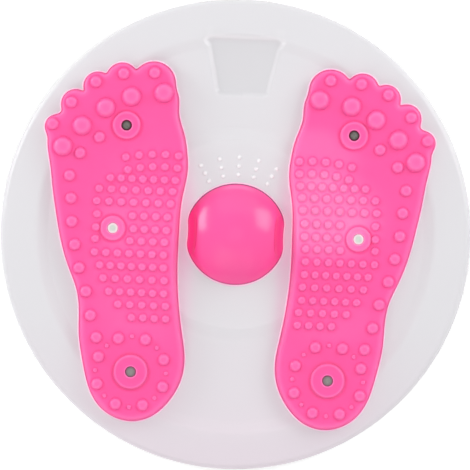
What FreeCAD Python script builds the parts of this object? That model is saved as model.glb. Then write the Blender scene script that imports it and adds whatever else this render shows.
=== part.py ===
import FreeCAD, Part
import math
import os
import Sketcher
from FreeCAD import Vector

# Waist twisting disc: two foot pads on a round turntable that turns on balls over a ribbed base.
# Frame: +Z up, origin at the bottom centre, +Y towards the toes, +X towards the right foot.

# Driving sizes: lengths in millimetres, angles in degrees, and counts.
SIZES = {
    # turntable
    "disc_radius": 142.5,
    "shell_wall": 2.8,
    "lip_height": 8,
    "rim_width": 21.5,
    "outer_slope_width": 7,
    "plateau_inset": 20.5,
    "inner_slope_width": 6.5,
    "bead_rise": 1.2,
    "rim_drop": 2.9,
    "rim_round": 4,
    "bead_round": 9,
    "well_radius": 17.2,
    "well_wall": 2.6,
    "well_edge_round": 0.8,
    "hub_radius": 12,
    "hub_depth": 3.9,
    "rib_thickness": 2,
    "rib_count": 12,
    "inner_rib_drop": 1.5,
    "outer_rib_drop": 3.5,
    # blank recess between the toes
    "recess_margin": 6,
    "recess_length": 29.5,
    "recess_outer_width": 43,
    "recess_inner_width": 29,
    "recess_depth": 2.2,
    "recess_floor": 2.2,
    # fan of small domes on the turntable
    "fan_gap": 6,
    "fan_row_step": 5.3,
    "fan_rows": 3,
    "fan_columns": 5,
    "fan_angle": 57.6,
    "fan_dome_radius": 1.5,
    # ball race
    "race_inset": 58.5,
    "race_ring_width": 12,
    "ball_radius": 4,
    "ball_count": 12,
    "ball_play": 0.05,
    "groove_ease": 0.25,
    "ball_stand_out": 1.5,
    "race_step": 6,
    "upper_race_step": 3.7,
    "running_gap": 0.3,
    "rib_gap": 0.6,
    "cage_play": 0.15,
    # base
    "finger_gap": 21.7,
    "base_wall": 3,
    "base_cell_depth": 3.5,
    "base_rim_width": 3,
    "base_rim_rise": 3,
    "base_round": 1,
    "base_rib_rise": 2.5,
    "base_boss_radius": 17,
    "base_boss_drop": 1,
    "nut_pocket_radius": 10.5,
    "nut_pocket_wall": 3,
    "foot_radius": 11,
    "foot_stand": 3,
    "foot_inset": 20,
    "foot_round": 1,
    "foot_count": 6,
    "socket_play": 0.1,
    "socket_wall": 2.4,
    # centre pivot
    "bolt_radius": 4,
    "hex_width": 13,
    "head_height": 5.3,
    "nut_height": 6.5,
    "thread_play": 0.05,
    "thread_beyond": 0.5,
    "bush_wall": 1.8,
    "bush_flange_radius": 10.5,
    "bush_flange": 1.5,
    "shaft_play": 0.1,
    "washer_thickness": 1.6,
    "washer_radius": 8,
    "head_washer_radius": 10,
    "thrust_washer_thickness": 1.5,
    "thrust_washer_radius": 12,
    # centre cap
    "cap_radius": 30.4,
    "cap_rise": 17,
    "cap_wall": 2.2,
    "cap_web": 2,
    "spigot_play": 0.2,
    "spigot_wall": 1.8,
    "spigot_depth": 4,
    "scoop_radius": 7,
    "scoop_sink": 0.12,
    "scoop_sweep": 70,
    "scoop_inset": 0.6,
    # foot pads
    "pad_margin": 32.5,
    "pad_gap": 3.44,
    "pad_setback": 6.5,
    "pad_rise": 6.5,
    "arch_rise": 7,
    "nub_root": 1.5,
    "small_nub_radius": 2.5,
    "middle_nub_radius": 3.5,
    "large_nub_radius": 5.75,
    "heel_bead_radius": 1.4,
    "heel_ring_count": 8,
    "front_boss_radius": 8.4,
    "arch_boss_radius": 7.5,
    "heel_boss_radius": 10.3,
    "boss_rise": 1.2,
    "magnet_radius": 3.2,
    "magnet_height": 3,
    "magnet_play": 0.1,
    "magnet_recess": 0.4,
    # pegs and screws of the foot pads
    "peg_radius": 4,
    "peg_play": 0.2,
    "inner_peg_gap": 7.5,
    "outer_peg_gap": 11,
    "front_outer_peg_angle": 15,
    "front_inner_peg_angle": 45,
    "rear_peg_angle": -45,
    "screw_radius": 1.5,
    "peg_shortfall": 0.3,
    "screw_head_radius": 6,
    "screw_head_height": 2,
    "screw_reach": 6.5,
}

# One overrun for every cut that passes through a wall.
OVERRUN_SHARE = 0.1


class Size:
    """A size from the sheet, or one worked out from others: its value and its expression."""

    def __init__(self, text, value):
        self.text = text
        self.value = value

    def __float__(self):
        return float(self.value)

    def combine(self, sign, other, value):
        text = other.text if isinstance(other, Size) else str(other)
        return Size("(%s %s %s)" % (self.text, sign, text), value)

    def __add__(self, other):
        return self.combine("+", other, self.value + float(other))

    def __sub__(self, other):
        return self.combine("-", other, self.value - float(other))

    def __mul__(self, other):
        return self.combine("*", other, self.value * float(other))

    def __truediv__(self, other):
        return self.combine("/", other, self.value / float(other))

    def __neg__(self):
        return Size("(0 - %s)" % self.text, -self.value)

    def sine(self):
        return Size("sin(%s)" % self.text, math.sin(math.radians(self.value)))

    def cosine(self):
        return Size("cos(%s)" % self.text, math.cos(math.radians(self.value)))


class Sheet:
    """The sizes of the sheet by name."""

    def __getattr__(self, alias):
        return Size("Sizes." + alias, SIZES[alias])


doc = FreeCAD.newDocument("WaistTwistingDisc")
cells = doc.addObject("Spreadsheet::Sheet", "Sizes")
for row, (alias, number) in enumerate(SIZES.items(), start=1):
    cells.set("A%d" % row, alias)
    cells.set("B%d" % row, str(number))
    cells.setAlias("B%d" % row, alias)
doc.recompute()
size = Sheet()


# Helpers for sketches and features

def bind(thing, name, value):
    """Bind a property or constraint to an expression, where the value comes from the sheet."""
    if isinstance(value, Size):
        thing.setExpression(name, value.text)


def origin_feature(body, role):
    return next(item for item in body.Origin.OriginFeatures if item.Role == role)


def new_sketch(body, name, role, level=None):
    sketch = body.newObject("Sketcher::SketchObject", name)
    sketch.AttachmentSupport = [(origin_feature(body, role), "")]
    sketch.MapMode = "FlatFace"
    if level is not None:
        bind(sketch, "AttachmentOffset.Base.z", level)
    return sketch


def fix_point(sketch, geometry, point, x, y):
    """Hold a point of a sketch at x and y from its origin."""
    for kind, value in (("DistanceX", x), ("DistanceY", y)):
        index = sketch.addConstraint(Sketcher.Constraint(kind, -1, 1, geometry, point, float(value)))
        if isinstance(value, Size):
            sketch.renameConstraint(index, "%s_%d" % (kind.lower(), index))
            bind(sketch, "Constraints.%s_%d" % (kind.lower(), index), value)


def fix_radius(sketch, geometry, radius):
    index = sketch.addConstraint(Sketcher.Constraint("Radius", geometry, float(radius)))
    sketch.renameConstraint(index, "radius_%d" % index)
    bind(sketch, "Constraints.radius_%d" % index, radius)


def draw_circle(sketch, x, y, radius):
    circle = Part.Circle(Vector(float(x), float(y), 0), Vector(0, 0, 1), float(radius))
    geometry = sketch.addGeometry(circle, False)
    fix_radius(sketch, geometry, radius)
    fix_point(sketch, geometry, 3, x, y)


def draw_round(sketch, corner, before, after, radius, entry, leave):
    """Round one corner with an arc that is tangent to the lines before and after it."""
    half_turn = (entry - corner).getAngle(leave - corner) / 2
    inward = ((entry - corner).normalize() + (leave - corner).normalize()).normalize()
    centre = corner + inward * (float(radius) / math.sin(half_turn))
    left_turn = (corner - entry).cross(leave - corner).z > 0
    first, last = (entry, leave) if left_turn else (leave, entry)
    start = math.atan2(first.y - centre.y, first.x - centre.x)
    end = math.atan2(last.y - centre.y, last.x - centre.x)
    circle = Part.Circle(centre, Vector(0, 0, 1), float(radius))
    arc = sketch.addGeometry(Part.ArcOfCircle(circle, start, end), False)
    entry_end, leave_end = (1, 2) if left_turn else (2, 1)
    sketch.addConstraint(Sketcher.Constraint("Tangent", before, 2, arc, entry_end))
    sketch.addConstraint(Sketcher.Constraint("Tangent", arc, leave_end, after, 1))
    fix_radius(sketch, arc, radius)
    point = sketch.addGeometry(Part.Point(corner), True)
    sketch.addConstraint(Sketcher.Constraint("PointOnObject", point, 1, before))
    sketch.addConstraint(Sketcher.Constraint("PointOnObject", point, 1, after))
    return point


def draw_outline(sketch, corners):
    """Draw a closed outline through corners (x, y) or, where a corner is rounded, (x, y, radius)."""
    count = len(corners)
    points = [Vector(float(corner[0]), float(corner[1]), 0) for corner in corners]
    entries = []
    leaves = []
    for index, corner in enumerate(corners):
        to_last = (points[index - 1] - points[index]).normalize()
        to_next = (points[(index + 1) % count] - points[index]).normalize()
        radius = float(corner[2]) if len(corner) > 2 else 0
        setback = radius / math.tan(to_last.getAngle(to_next) / 2)
        entries.append(points[index] + to_last * setback)
        leaves.append(points[index] + to_next * setback)
    lines = []
    for index in range(count):
        line = Part.LineSegment(leaves[index], entries[(index + 1) % count])
        lines.append(sketch.addGeometry(line, False))
    for index, corner in enumerate(corners):
        before, after = lines[index - 1], lines[index]
        if len(corner) > 2:
            sides = (entries[index], leaves[index])
            point = draw_round(sketch, points[index], before, after, corner[2], *sides)
        else:
            sketch.addConstraint(Sketcher.Constraint("Coincident", before, 2, after, 1))
            point = after
        fix_point(sketch, point, 1, corner[0], corner[1])


def changed(body, feature):
    """Recompute, and stop if a feature failed or left the body as it was."""
    before = body.Shape.Volume if not body.Shape.isNull() else 0
    body.Tip = feature
    doc.recompute()
    if abs(body.Shape.Volume - before) < before * 1e-9:
        raise RuntimeError(feature.Name + " changes nothing")
    return feature


def revolve(body, sketch):
    feature = body.newObject("PartDesign::Revolution", sketch.Name + "_turned")
    feature.Profile = sketch
    feature.ReferenceAxis = (sketch, ["V_Axis"])
    feature.Angle = 360
    return changed(body, feature)


def groove(body, sketch):
    feature = body.newObject("PartDesign::Groove", sketch.Name + "_turned")
    feature.Profile = sketch
    feature.ReferenceAxis = (sketch, ["V_Axis"])
    feature.Angle = 360
    return changed(body, feature)


def pad(body, sketch, length, centred=False):
    feature = body.newObject("PartDesign::Pad", sketch.Name + "_pad")
    feature.Profile = sketch
    bind(feature, "Length", length)
    feature.Midplane = centred
    return changed(body, feature)


def pocket(body, sketch, depth, upward=False, draft=None):
    """Cut a sketch down from its level, or up from it."""
    feature = body.newObject("PartDesign::Pocket", sketch.Name + "_pocket")
    feature.Profile = sketch
    bind(feature, "Length", depth)
    feature.Reversed = upward
    if draft is not None:
        feature.TaperAngle = draft
    return changed(body, feature)


def repeat_round(body, feature, count):
    pattern = body.newObject("PartDesign::PolarPattern", feature.Name + "_round")
    pattern.Originals = [feature]
    pattern.Axis = (origin_feature(body, "Z_Axis"), [""])
    pattern.Angle = 360
    bind(pattern, "Occurrences", count)
    return changed(body, pattern)


def ring_body(label, inner_radius, outer_radius, bottom, height):
    """A flat ring: a washer or the like."""
    body = doc.addObject("PartDesign::Body", label)
    sketch = new_sketch(body, label + "_outline", "XY_Plane", bottom)
    draw_circle(sketch, 0, 0, outer_radius)
    draw_circle(sketch, 0, 0, inner_radius)
    pad(body, sketch, height)
    return body


def hexagon(sketch, width):
    """Draw a hexagon of a given width across flats, with two flats square to Y."""
    corner = width / Size("sqrt(3)", math.sqrt(3))
    draw_outline(sketch, [
        (corner, 0),
        (corner / 2, width / 2),
        (-corner / 2, width / 2),
        (-corner, 0),
        (-corner / 2, -width / 2),
        (corner / 2, -width / 2),
    ])


# Levels, from the floor up

base_bottom = size.foot_stand
cell_ceiling = base_bottom + size.base_cell_depth
plate_top = cell_ceiling + size.base_wall
lower_land = plate_top + size.race_step
ball_level = lower_land + size.ball_stand_out
upper_land = ball_level + size.ball_stand_out
trough_underside = upper_land + size.upper_race_step
trough_top = trough_underside + size.shell_wall
plateau_top = trough_top + size.bead_rise
plateau_underside = plateau_top - size.shell_wall
rim_top = plateau_top - size.rim_drop

boss_top = lower_land - size.base_boss_drop
thrust_top = boss_top + size.thrust_washer_thickness
hub_bottom = thrust_top + size.shaft_play
well_floor = hub_bottom + size.hub_depth
well_underside = well_floor - size.well_wall
flange_top = well_floor + size.bush_flange
head_washer_bottom = flange_top + size.shaft_play
head_bottom = head_washer_bottom + size.washer_thickness
nut_ceiling = boss_top - size.nut_pocket_wall
nut_top = nut_ceiling - size.washer_thickness
nut_bottom = nut_top - size.nut_height
bolt_end = nut_bottom - size.thread_beyond

# Radii that several pieces share

bolt_hole_radius = size.bolt_radius + size.shaft_play
bush_radius = bolt_hole_radius + size.bush_wall
bush_hole_radius = bush_radius + size.shaft_play
well_outside = size.well_radius + size.well_wall
skirt_inside = size.disc_radius - size.shell_wall
bead_radius = size.disc_radius - size.rim_width
trough_outer = bead_radius - size.outer_slope_width
race_radius = size.disc_radius - size.race_inset
race_inside = race_radius - size.race_ring_width / 2
race_outside = race_radius + size.race_ring_width / 2
plateau_radius = race_inside - size.plateau_inset
trough_inner = plateau_radius + size.inner_slope_width
base_radius = skirt_inside - size.finger_gap
groove_radius = size.ball_radius + size.groove_ease
socket_radius = size.foot_radius + size.socket_play
foot_circle = base_radius - size.foot_inset
inner_peg_circle = race_inside - size.inner_peg_gap
outer_peg_circle = race_outside + size.outer_peg_gap
through = size.shell_wall * (1 + OVERRUN_SHARE)


def peg_places():
    """The four pegs of the right foot pad: two near the toes, one in the waist, one near the heel."""
    for circle, angle in (
        (outer_peg_circle, size.front_outer_peg_angle),
        (inner_peg_circle, size.front_inner_peg_angle),
        (inner_peg_circle, size.rear_peg_angle),
        (outer_peg_circle, size.rear_peg_angle),
    ):
        yield circle * angle.cosine(), circle * angle.sine()


def race_groove(body, level):
    """The round groove that the balls run in, at the level of the groove's centre."""
    sketch = new_sketch(body, body.Name + "_race", "XZ_Plane")
    draw_circle(sketch, race_radius, level, groove_radius)
    return groove(body, sketch)


# Turntable: shell with skirt, hub well, race ring and ribs

def make_disc_body():
    body = doc.addObject("PartDesign::Body", "disc_body")
    section = new_sketch(body, "disc_section", "XZ_Plane")
    draw_outline(section, [
        (bush_hole_radius, hub_bottom),
        (size.hub_radius, hub_bottom),
        (size.hub_radius, well_underside),
        (well_outside, well_underside),
        (well_outside, plateau_underside),
        (plateau_radius, plateau_underside),
        (trough_inner, trough_underside),
        (race_inside, trough_underside),
        (race_inside, upper_land),
        (race_outside, upper_land),
        (race_outside, trough_underside),
        (trough_outer, trough_underside),
        (bead_radius, plateau_underside),
        (skirt_inside, rim_top - size.shell_wall),
        (skirt_inside, size.lip_height),
        (size.disc_radius, size.lip_height),
        (size.disc_radius, rim_top, size.rim_round),
        (bead_radius, plateau_top, size.bead_round),
        (trough_outer, trough_top, size.bead_round),
        (trough_inner, trough_top, size.bead_round),
        (plateau_radius, plateau_top, size.bead_round),
        (size.well_radius, plateau_top, size.well_edge_round),
        (size.well_radius, well_floor),
        (bush_hole_radius, well_floor),
    ])
    shell = revolve(body, section)

    # ribs, drawn in section so that their tops end inside the wall that they carry, and stepped so
    # that they run clear of the ball cage and of the race ring below
    inner_rib_bottom = upper_land - size.inner_rib_drop
    outer_rib_bottom = upper_land - size.outer_rib_drop
    half_wall = size.shell_wall / 2
    inner_rib = new_sketch(body, "inner_rib", "XZ_Plane")
    draw_outline(inner_rib, [
        (well_outside - half_wall, inner_rib_bottom),
        (race_inside - size.rib_gap, inner_rib_bottom),
        (race_inside - size.rib_gap, upper_land),
        (race_inside + half_wall, upper_land),
        (race_inside + half_wall, trough_underside + half_wall),
        (trough_inner, trough_underside + half_wall),
        (plateau_radius, plateau_underside + half_wall),
        (well_outside - half_wall, plateau_underside + half_wall),
    ])
    repeat_round(body, pad(body, inner_rib, size.rib_thickness, centred=True), size.rib_count)
    outer_rib = new_sketch(body, "outer_rib", "XZ_Plane")
    draw_outline(outer_rib, [
        (race_outside + size.rib_gap, outer_rib_bottom),
        (race_outside + size.rib_gap, upper_land),
        (race_outside - half_wall, upper_land),
        (race_outside - half_wall, trough_underside + half_wall),
        (trough_outer, trough_underside + half_wall),
        (bead_radius, plateau_underside + half_wall),
        (skirt_inside + half_wall, rim_top - size.shell_wall),
        (skirt_inside + half_wall, outer_rib_bottom),
    ])
    repeat_round(body, pad(body, outer_rib, size.rib_thickness, centred=True), size.rib_count)

    # blank tapered recess between the toes, in a pan that keeps the wall whole
    pan = new_sketch(body, "recess_pan", "XY_Plane", trough_top - size.recess_depth - size.recess_floor)
    outer_reach = bead_radius - size.recess_margin
    inner_reach = outer_reach - size.recess_length
    half_outer = size.recess_outer_width / 2
    half_inner = size.recess_inner_width / 2
    wall = size.recess_floor
    draw_outline(pan, [
        (half_inner + wall, inner_reach - wall),
        (half_outer + wall, outer_reach + wall),
        (-half_outer - wall, outer_reach + wall),
        (-half_inner - wall, inner_reach - wall),
    ])
    pad(body, pan, size.recess_depth + size.recess_floor - size.shell_wall / 2)
    race_groove(body, ball_level - size.groove_ease + size.ball_play)
    recess = new_sketch(body, "recess", "XY_Plane", plateau_top)
    draw_outline(recess, [
        (half_inner, inner_reach),
        (half_outer, outer_reach),
        (-half_outer, outer_reach),
        (-half_inner, inner_reach),
    ])
    pocket(body, recess, size.bead_rise + size.recess_depth)

    # holes for the pegs of both foot pads
    holes = new_sketch(body, "peg_holes", "XY_Plane", plateau_top)
    for x, y in peg_places():
        draw_circle(holes, x, y, size.peg_radius + size.peg_play)
        draw_circle(holes, -x, y, size.peg_radius + size.peg_play)
    pocket(body, holes, size.bead_rise + through)
    return body, shell


def make_fan_domes():
    """The fan of small domes before the cap, each half sunk in the plateau."""
    for row in range(SIZES["fan_rows"]):
        radius = size.cap_radius + size.fan_gap + size.fan_row_step * row
        for column in range(SIZES["fan_columns"]):
            turn = size.fan_angle * (column / (SIZES["fan_columns"] - 1) - 0.5)
            dome = doc.addObject("Part::Sphere", "fan_dome_%d_%d" % (row + 1, column + 1))
            bind(dome, "Radius", size.fan_dome_radius)
            bind(dome, "Placement.Base.x", radius * turn.sine())
            bind(dome, "Placement.Base.y", radius * turn.cosine())
            bind(dome, "Placement.Base.z", plateau_top)
            yield dome


disc_body, disc_shell = make_disc_body()
top_disc = doc.addObject("Part::MultiFuse", "top_disc")
top_disc.Shapes = [disc_body, *make_fan_domes()]


# Base: ribbed plate with the lower race, the pivot boss and sockets for the rubber feet

half_step = Size("(180 / Sizes.rib_count)", 180 / SIZES["rib_count"])


def make_base_plate():
    body = doc.addObject("PartDesign::Body", "base_plate")
    rim_inside = base_radius - size.base_rim_width
    pocket_outside = size.nut_pocket_radius + size.base_wall
    section = new_sketch(body, "base_section", "XZ_Plane")
    draw_outline(section, [
        (bolt_hole_radius, nut_ceiling),
        (size.nut_pocket_radius, nut_ceiling),
        (size.nut_pocket_radius, base_bottom),
        (pocket_outside, base_bottom),
        (pocket_outside, cell_ceiling),
        (rim_inside, cell_ceiling),
        (rim_inside, base_bottom),
        (base_radius, base_bottom, size.base_round),
        (base_radius, plate_top + size.base_rim_rise, size.base_round),
        (rim_inside, plate_top + size.base_rim_rise),
        (rim_inside, plate_top),
        (race_outside, plate_top),
        (race_outside, lower_land),
        (race_inside, lower_land),
        (race_inside, plate_top),
        (size.base_boss_radius, plate_top),
        (size.base_boss_radius, boss_top),
        (bolt_hole_radius, boss_top),
    ])
    revolve(body, section)
    race_groove(body, ball_level + size.groove_ease - size.ball_play)

    # ribs under the plate, between the feet
    half_wall = size.base_wall / 2
    low_rib = new_sketch(body, "low_rib", "XZ_Plane")
    draw_outline(low_rib, [
        (pocket_outside - half_wall, base_bottom),
        (rim_inside + half_wall, base_bottom),
        (rim_inside + half_wall, cell_ceiling + half_wall),
        (pocket_outside - half_wall, cell_ceiling + half_wall),
    ])
    repeat_round(body, pad(body, low_rib, size.rib_thickness, centred=True), size.rib_count)

    # ribs on the plate, inside and outside the race
    rib_top = plate_top + size.base_rib_rise
    for name, start, end in (
        ("inner_high_rib", size.base_boss_radius, race_inside),
        ("outer_high_rib", race_outside, rim_inside),
    ):
        high_rib = new_sketch(body, name, "XZ_Plane")
        draw_outline(high_rib, [
            (start - half_wall, plate_top - half_wall),
            (end + half_wall, plate_top - half_wall),
            (end + half_wall, rib_top),
            (start - half_wall, rib_top),
        ])
        repeat_round(body, pad(body, high_rib, size.rib_thickness, centred=True), size.rib_count)

    # sockets for the feet, half a rib step away from the ribs; the plate turns by as much, so that
    # the feet lie alike on both sides
    foot_x = foot_circle * half_step.cosine()
    foot_y = foot_circle * half_step.sine()
    wall = new_sketch(body, "socket_wall", "XY_Plane", base_bottom)
    draw_circle(wall, foot_x, foot_y, socket_radius + size.socket_wall)
    repeat_round(body, pad(body, wall, size.base_cell_depth + half_wall), size.foot_count)
    hollow = new_sketch(body, "socket", "XY_Plane", base_bottom)
    draw_circle(hollow, foot_x, foot_y, socket_radius)
    repeat_round(body, pocket(body, hollow, size.base_cell_depth, upward=True), size.foot_count)
    bind(body, "Placement.Rotation.Angle", half_step)
    return body


base_plate = make_base_plate()


# Rubber feet, pressed into their sockets

def make_rubber_foot(number):
    body = doc.addObject("PartDesign::Body", "rubber_foot_%d" % number)
    section = new_sketch(body, body.Name + "_section", "XZ_Plane")
    draw_outline(section, [
        (0, 0),
        (size.foot_radius, 0, size.foot_round),
        (size.foot_radius, cell_ceiling),
        (0, cell_ceiling),
    ])
    revolve(body, section)
    step = Size("(360 / Sizes.foot_count)", 360 / SIZES["foot_count"])
    turn = half_step * 2 + step * (number - 1)
    bind(body, "Placement.Base.x", foot_circle * turn.cosine())
    bind(body, "Placement.Base.y", foot_circle * turn.sine())
    return body


pieces = [top_disc, base_plate]
for foot in range(SIZES["foot_count"]):
    pieces.append(make_rubber_foot(foot + 1))


# Balls and the cage that keeps them apart

def make_ball(number):
    ball = doc.addObject("Part::Sphere", "ball_%02d" % number)
    turn = Size("(360 / Sizes.ball_count)", 360 / SIZES["ball_count"]) * (number - 0.5)
    bind(ball, "Radius", size.ball_radius)
    bind(ball, "Placement.Base.x", race_radius * turn.cosine())
    bind(ball, "Placement.Base.y", race_radius * turn.sine())
    bind(ball, "Placement.Base.z", ball_level)
    return ball


def make_ball_cage():
    thickness = (size.ball_stand_out - size.running_gap) * 2
    width = size.race_ring_width / 2 - size.running_gap * 2
    body = ring_body("ball_cage", race_radius - width, race_radius + width,
                     ball_level - thickness / 2, thickness)
    turn = Size("(180 / Sizes.ball_count)", 180 / SIZES["ball_count"])
    hollow = new_sketch(body, "ball_pocket", "XY_Plane", ball_level + thickness / 2)
    draw_circle(hollow, race_radius * turn.cosine(), race_radius * turn.sine(),
                size.ball_radius + size.cage_play)
    repeat_round(body, pocket(body, hollow, thickness), size.ball_count)
    return body


for ball_number in range(SIZES["ball_count"]):
    pieces.append(make_ball(ball_number + 1))
pieces.append(make_ball_cage())


# Centre pivot: hexagon bolt, washers, flanged bush and nut

def make_pivot_bolt():
    body = doc.addObject("PartDesign::Body", "pivot_bolt")
    head = new_sketch(body, "bolt_head", "XY_Plane", head_bottom)
    hexagon(head, size.hex_width)
    pad(body, head, size.head_height)
    shank = new_sketch(body, "bolt_shank", "XY_Plane", bolt_end)
    draw_circle(shank, 0, 0, size.bolt_radius)
    pad(body, shank, head_bottom - bolt_end)
    return body


def make_pivot_nut():
    body = doc.addObject("PartDesign::Body", "pivot_nut")
    outline = new_sketch(body, "nut_outline", "XY_Plane", nut_bottom)
    hexagon(outline, size.hex_width)
    draw_circle(outline, 0, 0, size.bolt_radius + size.thread_play)
    pad(body, outline, size.nut_height)
    return body


def make_pivot_bush():
    body = doc.addObject("PartDesign::Body", "pivot_bush")
    section = new_sketch(body, "bush_section", "XZ_Plane")
    draw_outline(section, [
        (bolt_hole_radius, hub_bottom),
        (bush_radius, hub_bottom),
        (bush_radius, well_floor),
        (size.bush_flange_radius, well_floor),
        (size.bush_flange_radius, flange_top),
        (bolt_hole_radius, flange_top),
    ])
    revolve(body, section)
    return body


pieces.append(make_pivot_bolt())
pieces.append(make_pivot_nut())
pieces.append(make_pivot_bush())
pieces.append(ring_body("head_washer", bolt_hole_radius, size.head_washer_radius,
                        head_washer_bottom, size.washer_thickness))
pieces.append(ring_body("thrust_washer", bolt_hole_radius, size.thrust_washer_radius,
                        boss_top, size.thrust_washer_thickness))
pieces.append(ring_body("nut_washer", bolt_hole_radius, size.washer_radius,
                        nut_top, size.washer_thickness))


# Centre cap: a domed shell with a scoop on each side and a spigot that clips into the hub well

def primitive(kind, name, places, **sizes):
    """A primitive solid with its sizes and its place bound to the sheet."""
    solid = doc.addObject(kind, name)
    for key, value in sizes.items():
        bind(solid, key, value)
    for key, value in zip("xyz", places):
        bind(solid, "Placement.Base." + key, value)
    return solid


def joined(kind, name, first, second):
    result = doc.addObject(kind, name)
    result.Base = first
    result.Tool = second
    return result


def make_centre_cap():
    # a ball whose top stands the cap's rise above a circle of the cap's radius
    ball_size = (size.cap_radius * size.cap_radius / size.cap_rise + size.cap_rise) / 2
    ball_centre = plateau_top + size.cap_rise - ball_size
    inner_size = ball_size - size.cap_wall
    web_top = plateau_top + size.cap_web
    scoop_level = plateau_top + size.scoop_radius - size.scoop_sink
    scoop_x = size.cap_radius - size.scoop_inset + size.scoop_sweep
    spigot_radius = size.well_radius - size.spigot_play

    def dome(name, radius, bottom, wall):
        ball = primitive("Part::Sphere", name + "_ball", (0, 0, ball_centre), Radius=radius)
        above = primitive("Part::Cylinder", name + "_above", (0, 0, bottom), Radius=radius, Height=radius)
        solid = joined("Part::Common", name + "_dome", ball, above)
        for side in (1, -1):
            ring = primitive("Part::Torus", "%s_scoop_%d" % (name, side + 2),
                             (scoop_x * side, 0, scoop_level),
                             Radius1=size.scoop_sweep, Radius2=size.scoop_radius + wall)
            # each ring's seam lies on its far side, away from the dome
            ring.Placement = FreeCAD.Placement(Vector(), FreeCAD.Rotation(Vector(0, 0, 1), 90 - 90 * side))
            solid = joined("Part::Cut", "%s_cut_%d" % (name, side + 2), solid, ring)
        return solid

    outside = dome("outer", ball_size, plateau_top, 0)
    inside = dome("inner", inner_size, web_top, size.cap_wall)
    shell = joined("Part::Cut", "cap_shell", outside, inside)
    spigot = primitive("Part::Cylinder", "spigot", (0, 0, plateau_top - size.spigot_depth),
                       Radius=spigot_radius, Height=size.spigot_depth + size.cap_web)
    bore = primitive("Part::Cylinder", "spigot_bore", (0, 0, plateau_top - size.spigot_depth),
                     Radius=spigot_radius - size.spigot_wall,
                     Height=size.spigot_depth + size.cap_web)
    cap = joined("Part::Cut", "centre_cap", joined("Part::Fuse", "cap_body", shell, spigot), bore)
    return cap


pieces.append(make_centre_cap())


# Foot pads. Places on the right pad are shares of its length from its centre: outwards, then towards
# the toes. The left pad is its mirror image.

PAD_EDGE_SHARES = (
    (-0.066, -0.501), (0.018, -0.470), (0.053, -0.425), (0.069, -0.380), (0.080, -0.334),
    (0.090, -0.266), (0.092, -0.198), (0.100, -0.143), (0.124, -0.084), (0.150, -0.007),
    (0.166, 0.066), (0.178, 0.130), (0.192, 0.202), (0.203, 0.270), (0.177, 0.320),
    (0.141, 0.359), (0.091, 0.402), (0.032, 0.434), (-0.041, 0.448), (-0.127, 0.448),
    (-0.158, 0.402), (-0.166, 0.352), (-0.179, 0.302), (-0.191, 0.243), (-0.194, 0.202),
    (-0.183, 0.125), (-0.178, 0.030), (-0.178, -0.070), (-0.185, -0.161), (-0.198, -0.252),
    (-0.209, -0.325), (-0.202, -0.384), (-0.170, -0.444), (-0.125, -0.485),
)
# each toe lobe: its centre and its radius
TOE_LOBE_SHARES = (
    (-0.090, 0.435, 0.063), (0.002, 0.442, 0.048), (0.069, 0.418, 0.044),
    (0.126, 0.366, 0.042), (0.173, 0.303, 0.035),
)
TOE_NUB_SHARES = ((-0.090, 0.462), (-0.005, 0.456), (0.070, 0.430), (0.135, 0.371), (0.183, 0.309))
LARGE_NUB_SHARES = ((-0.117, 0.408), (-0.029, 0.394), (0.040, 0.360), (0.103, 0.308), (0.153, 0.249))
OUTER_NUB_SHARES = (
    (0.054, 0.279), (0.105, 0.233), (0.131, 0.170), (0.124, 0.108), (0.119, 0.044),
    (0.108, -0.019), (0.093, -0.082), (0.071, -0.146), (0.056, -0.211), (0.037, -0.271),
)
# each row of small nubs: its place along the pad, its first and last nub across it, its count and its bow
NUB_ROW_SHARES = (
    (0.239, -0.166, -0.021, 5, 0.024), (0.205, -0.164, -0.028, 5, 0.024), (0.169, -0.160, 0.019, 7, 0.0),
    (0.138, -0.154, 0.048, 7, 0.0), (0.104, -0.150, 0.053, 7, 0.0), (0.067, -0.143, -0.047, 4, 0.0),
    (0.031, -0.142, -0.051, 4, 0.0), (-0.002, -0.138, -0.043, 4, 0.0), (-0.037, -0.137, 0.053, 7, 0.0),
    (-0.072, -0.138, 0.037, 7, 0.0), (-0.107, -0.142, 0.026, 6, 0.0), (-0.143, -0.142, 0.009, 6, 0.0),
    (-0.177, -0.149, -0.018, 5, 0.0), (-0.212, -0.151, -0.057, 4, 0.0),
)
ROW_CREST_SHARE = 0.3
BESIDE_ARCH_SHARES = ((0.051, 0.068), (0.052, 0.032), (0.053, 0.000))
FRONT_BOSS_SHARES = (-0.019, 0.315)
ARCH_BOSS_SHARES = (0.006, 0.031)
HEEL_BOSS_SHARES = (-0.061, -0.361)
HEEL_RING_SHARE = 0.0973
# the rise of the arch: its reach along the pad, the line across it where it is half up, and its blend
ARCH_LENGTH_SHARE = 0.2
ARCH_EDGE_SHARE = -0.13
ARCH_BLEND_SHARE = 0.035
# the patch of surface over the pad, half across and half along, and the steps it is drawn with
PATCH_WIDTH_SHARE = 0.26
PATCH_LENGTH_SHARE = 0.56
PATCH_STEPS = 12
# the height of a nub as a share of its radius
NUB_RISE_SHARE = 0.55


ring_bosses = (
    ("front", FRONT_BOSS_SHARES, size.front_boss_radius),
    ("arch", ARCH_BOSS_SHARES, size.arch_boss_radius),
    ("heel", HEEL_BOSS_SHARES, size.heel_boss_radius),
)


# the pad's waist beside the cap
PAD_WAIST_SHARE = -0.178
pad_length = (size.disc_radius - size.pad_margin) * 2
pad_reach = size.cap_radius + size.pad_gap - pad_length * PAD_WAIST_SHARE


def pad_across(share):
    return pad_reach + pad_length * share


def pad_along(share):
    return pad_length * share - size.pad_setback


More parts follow.
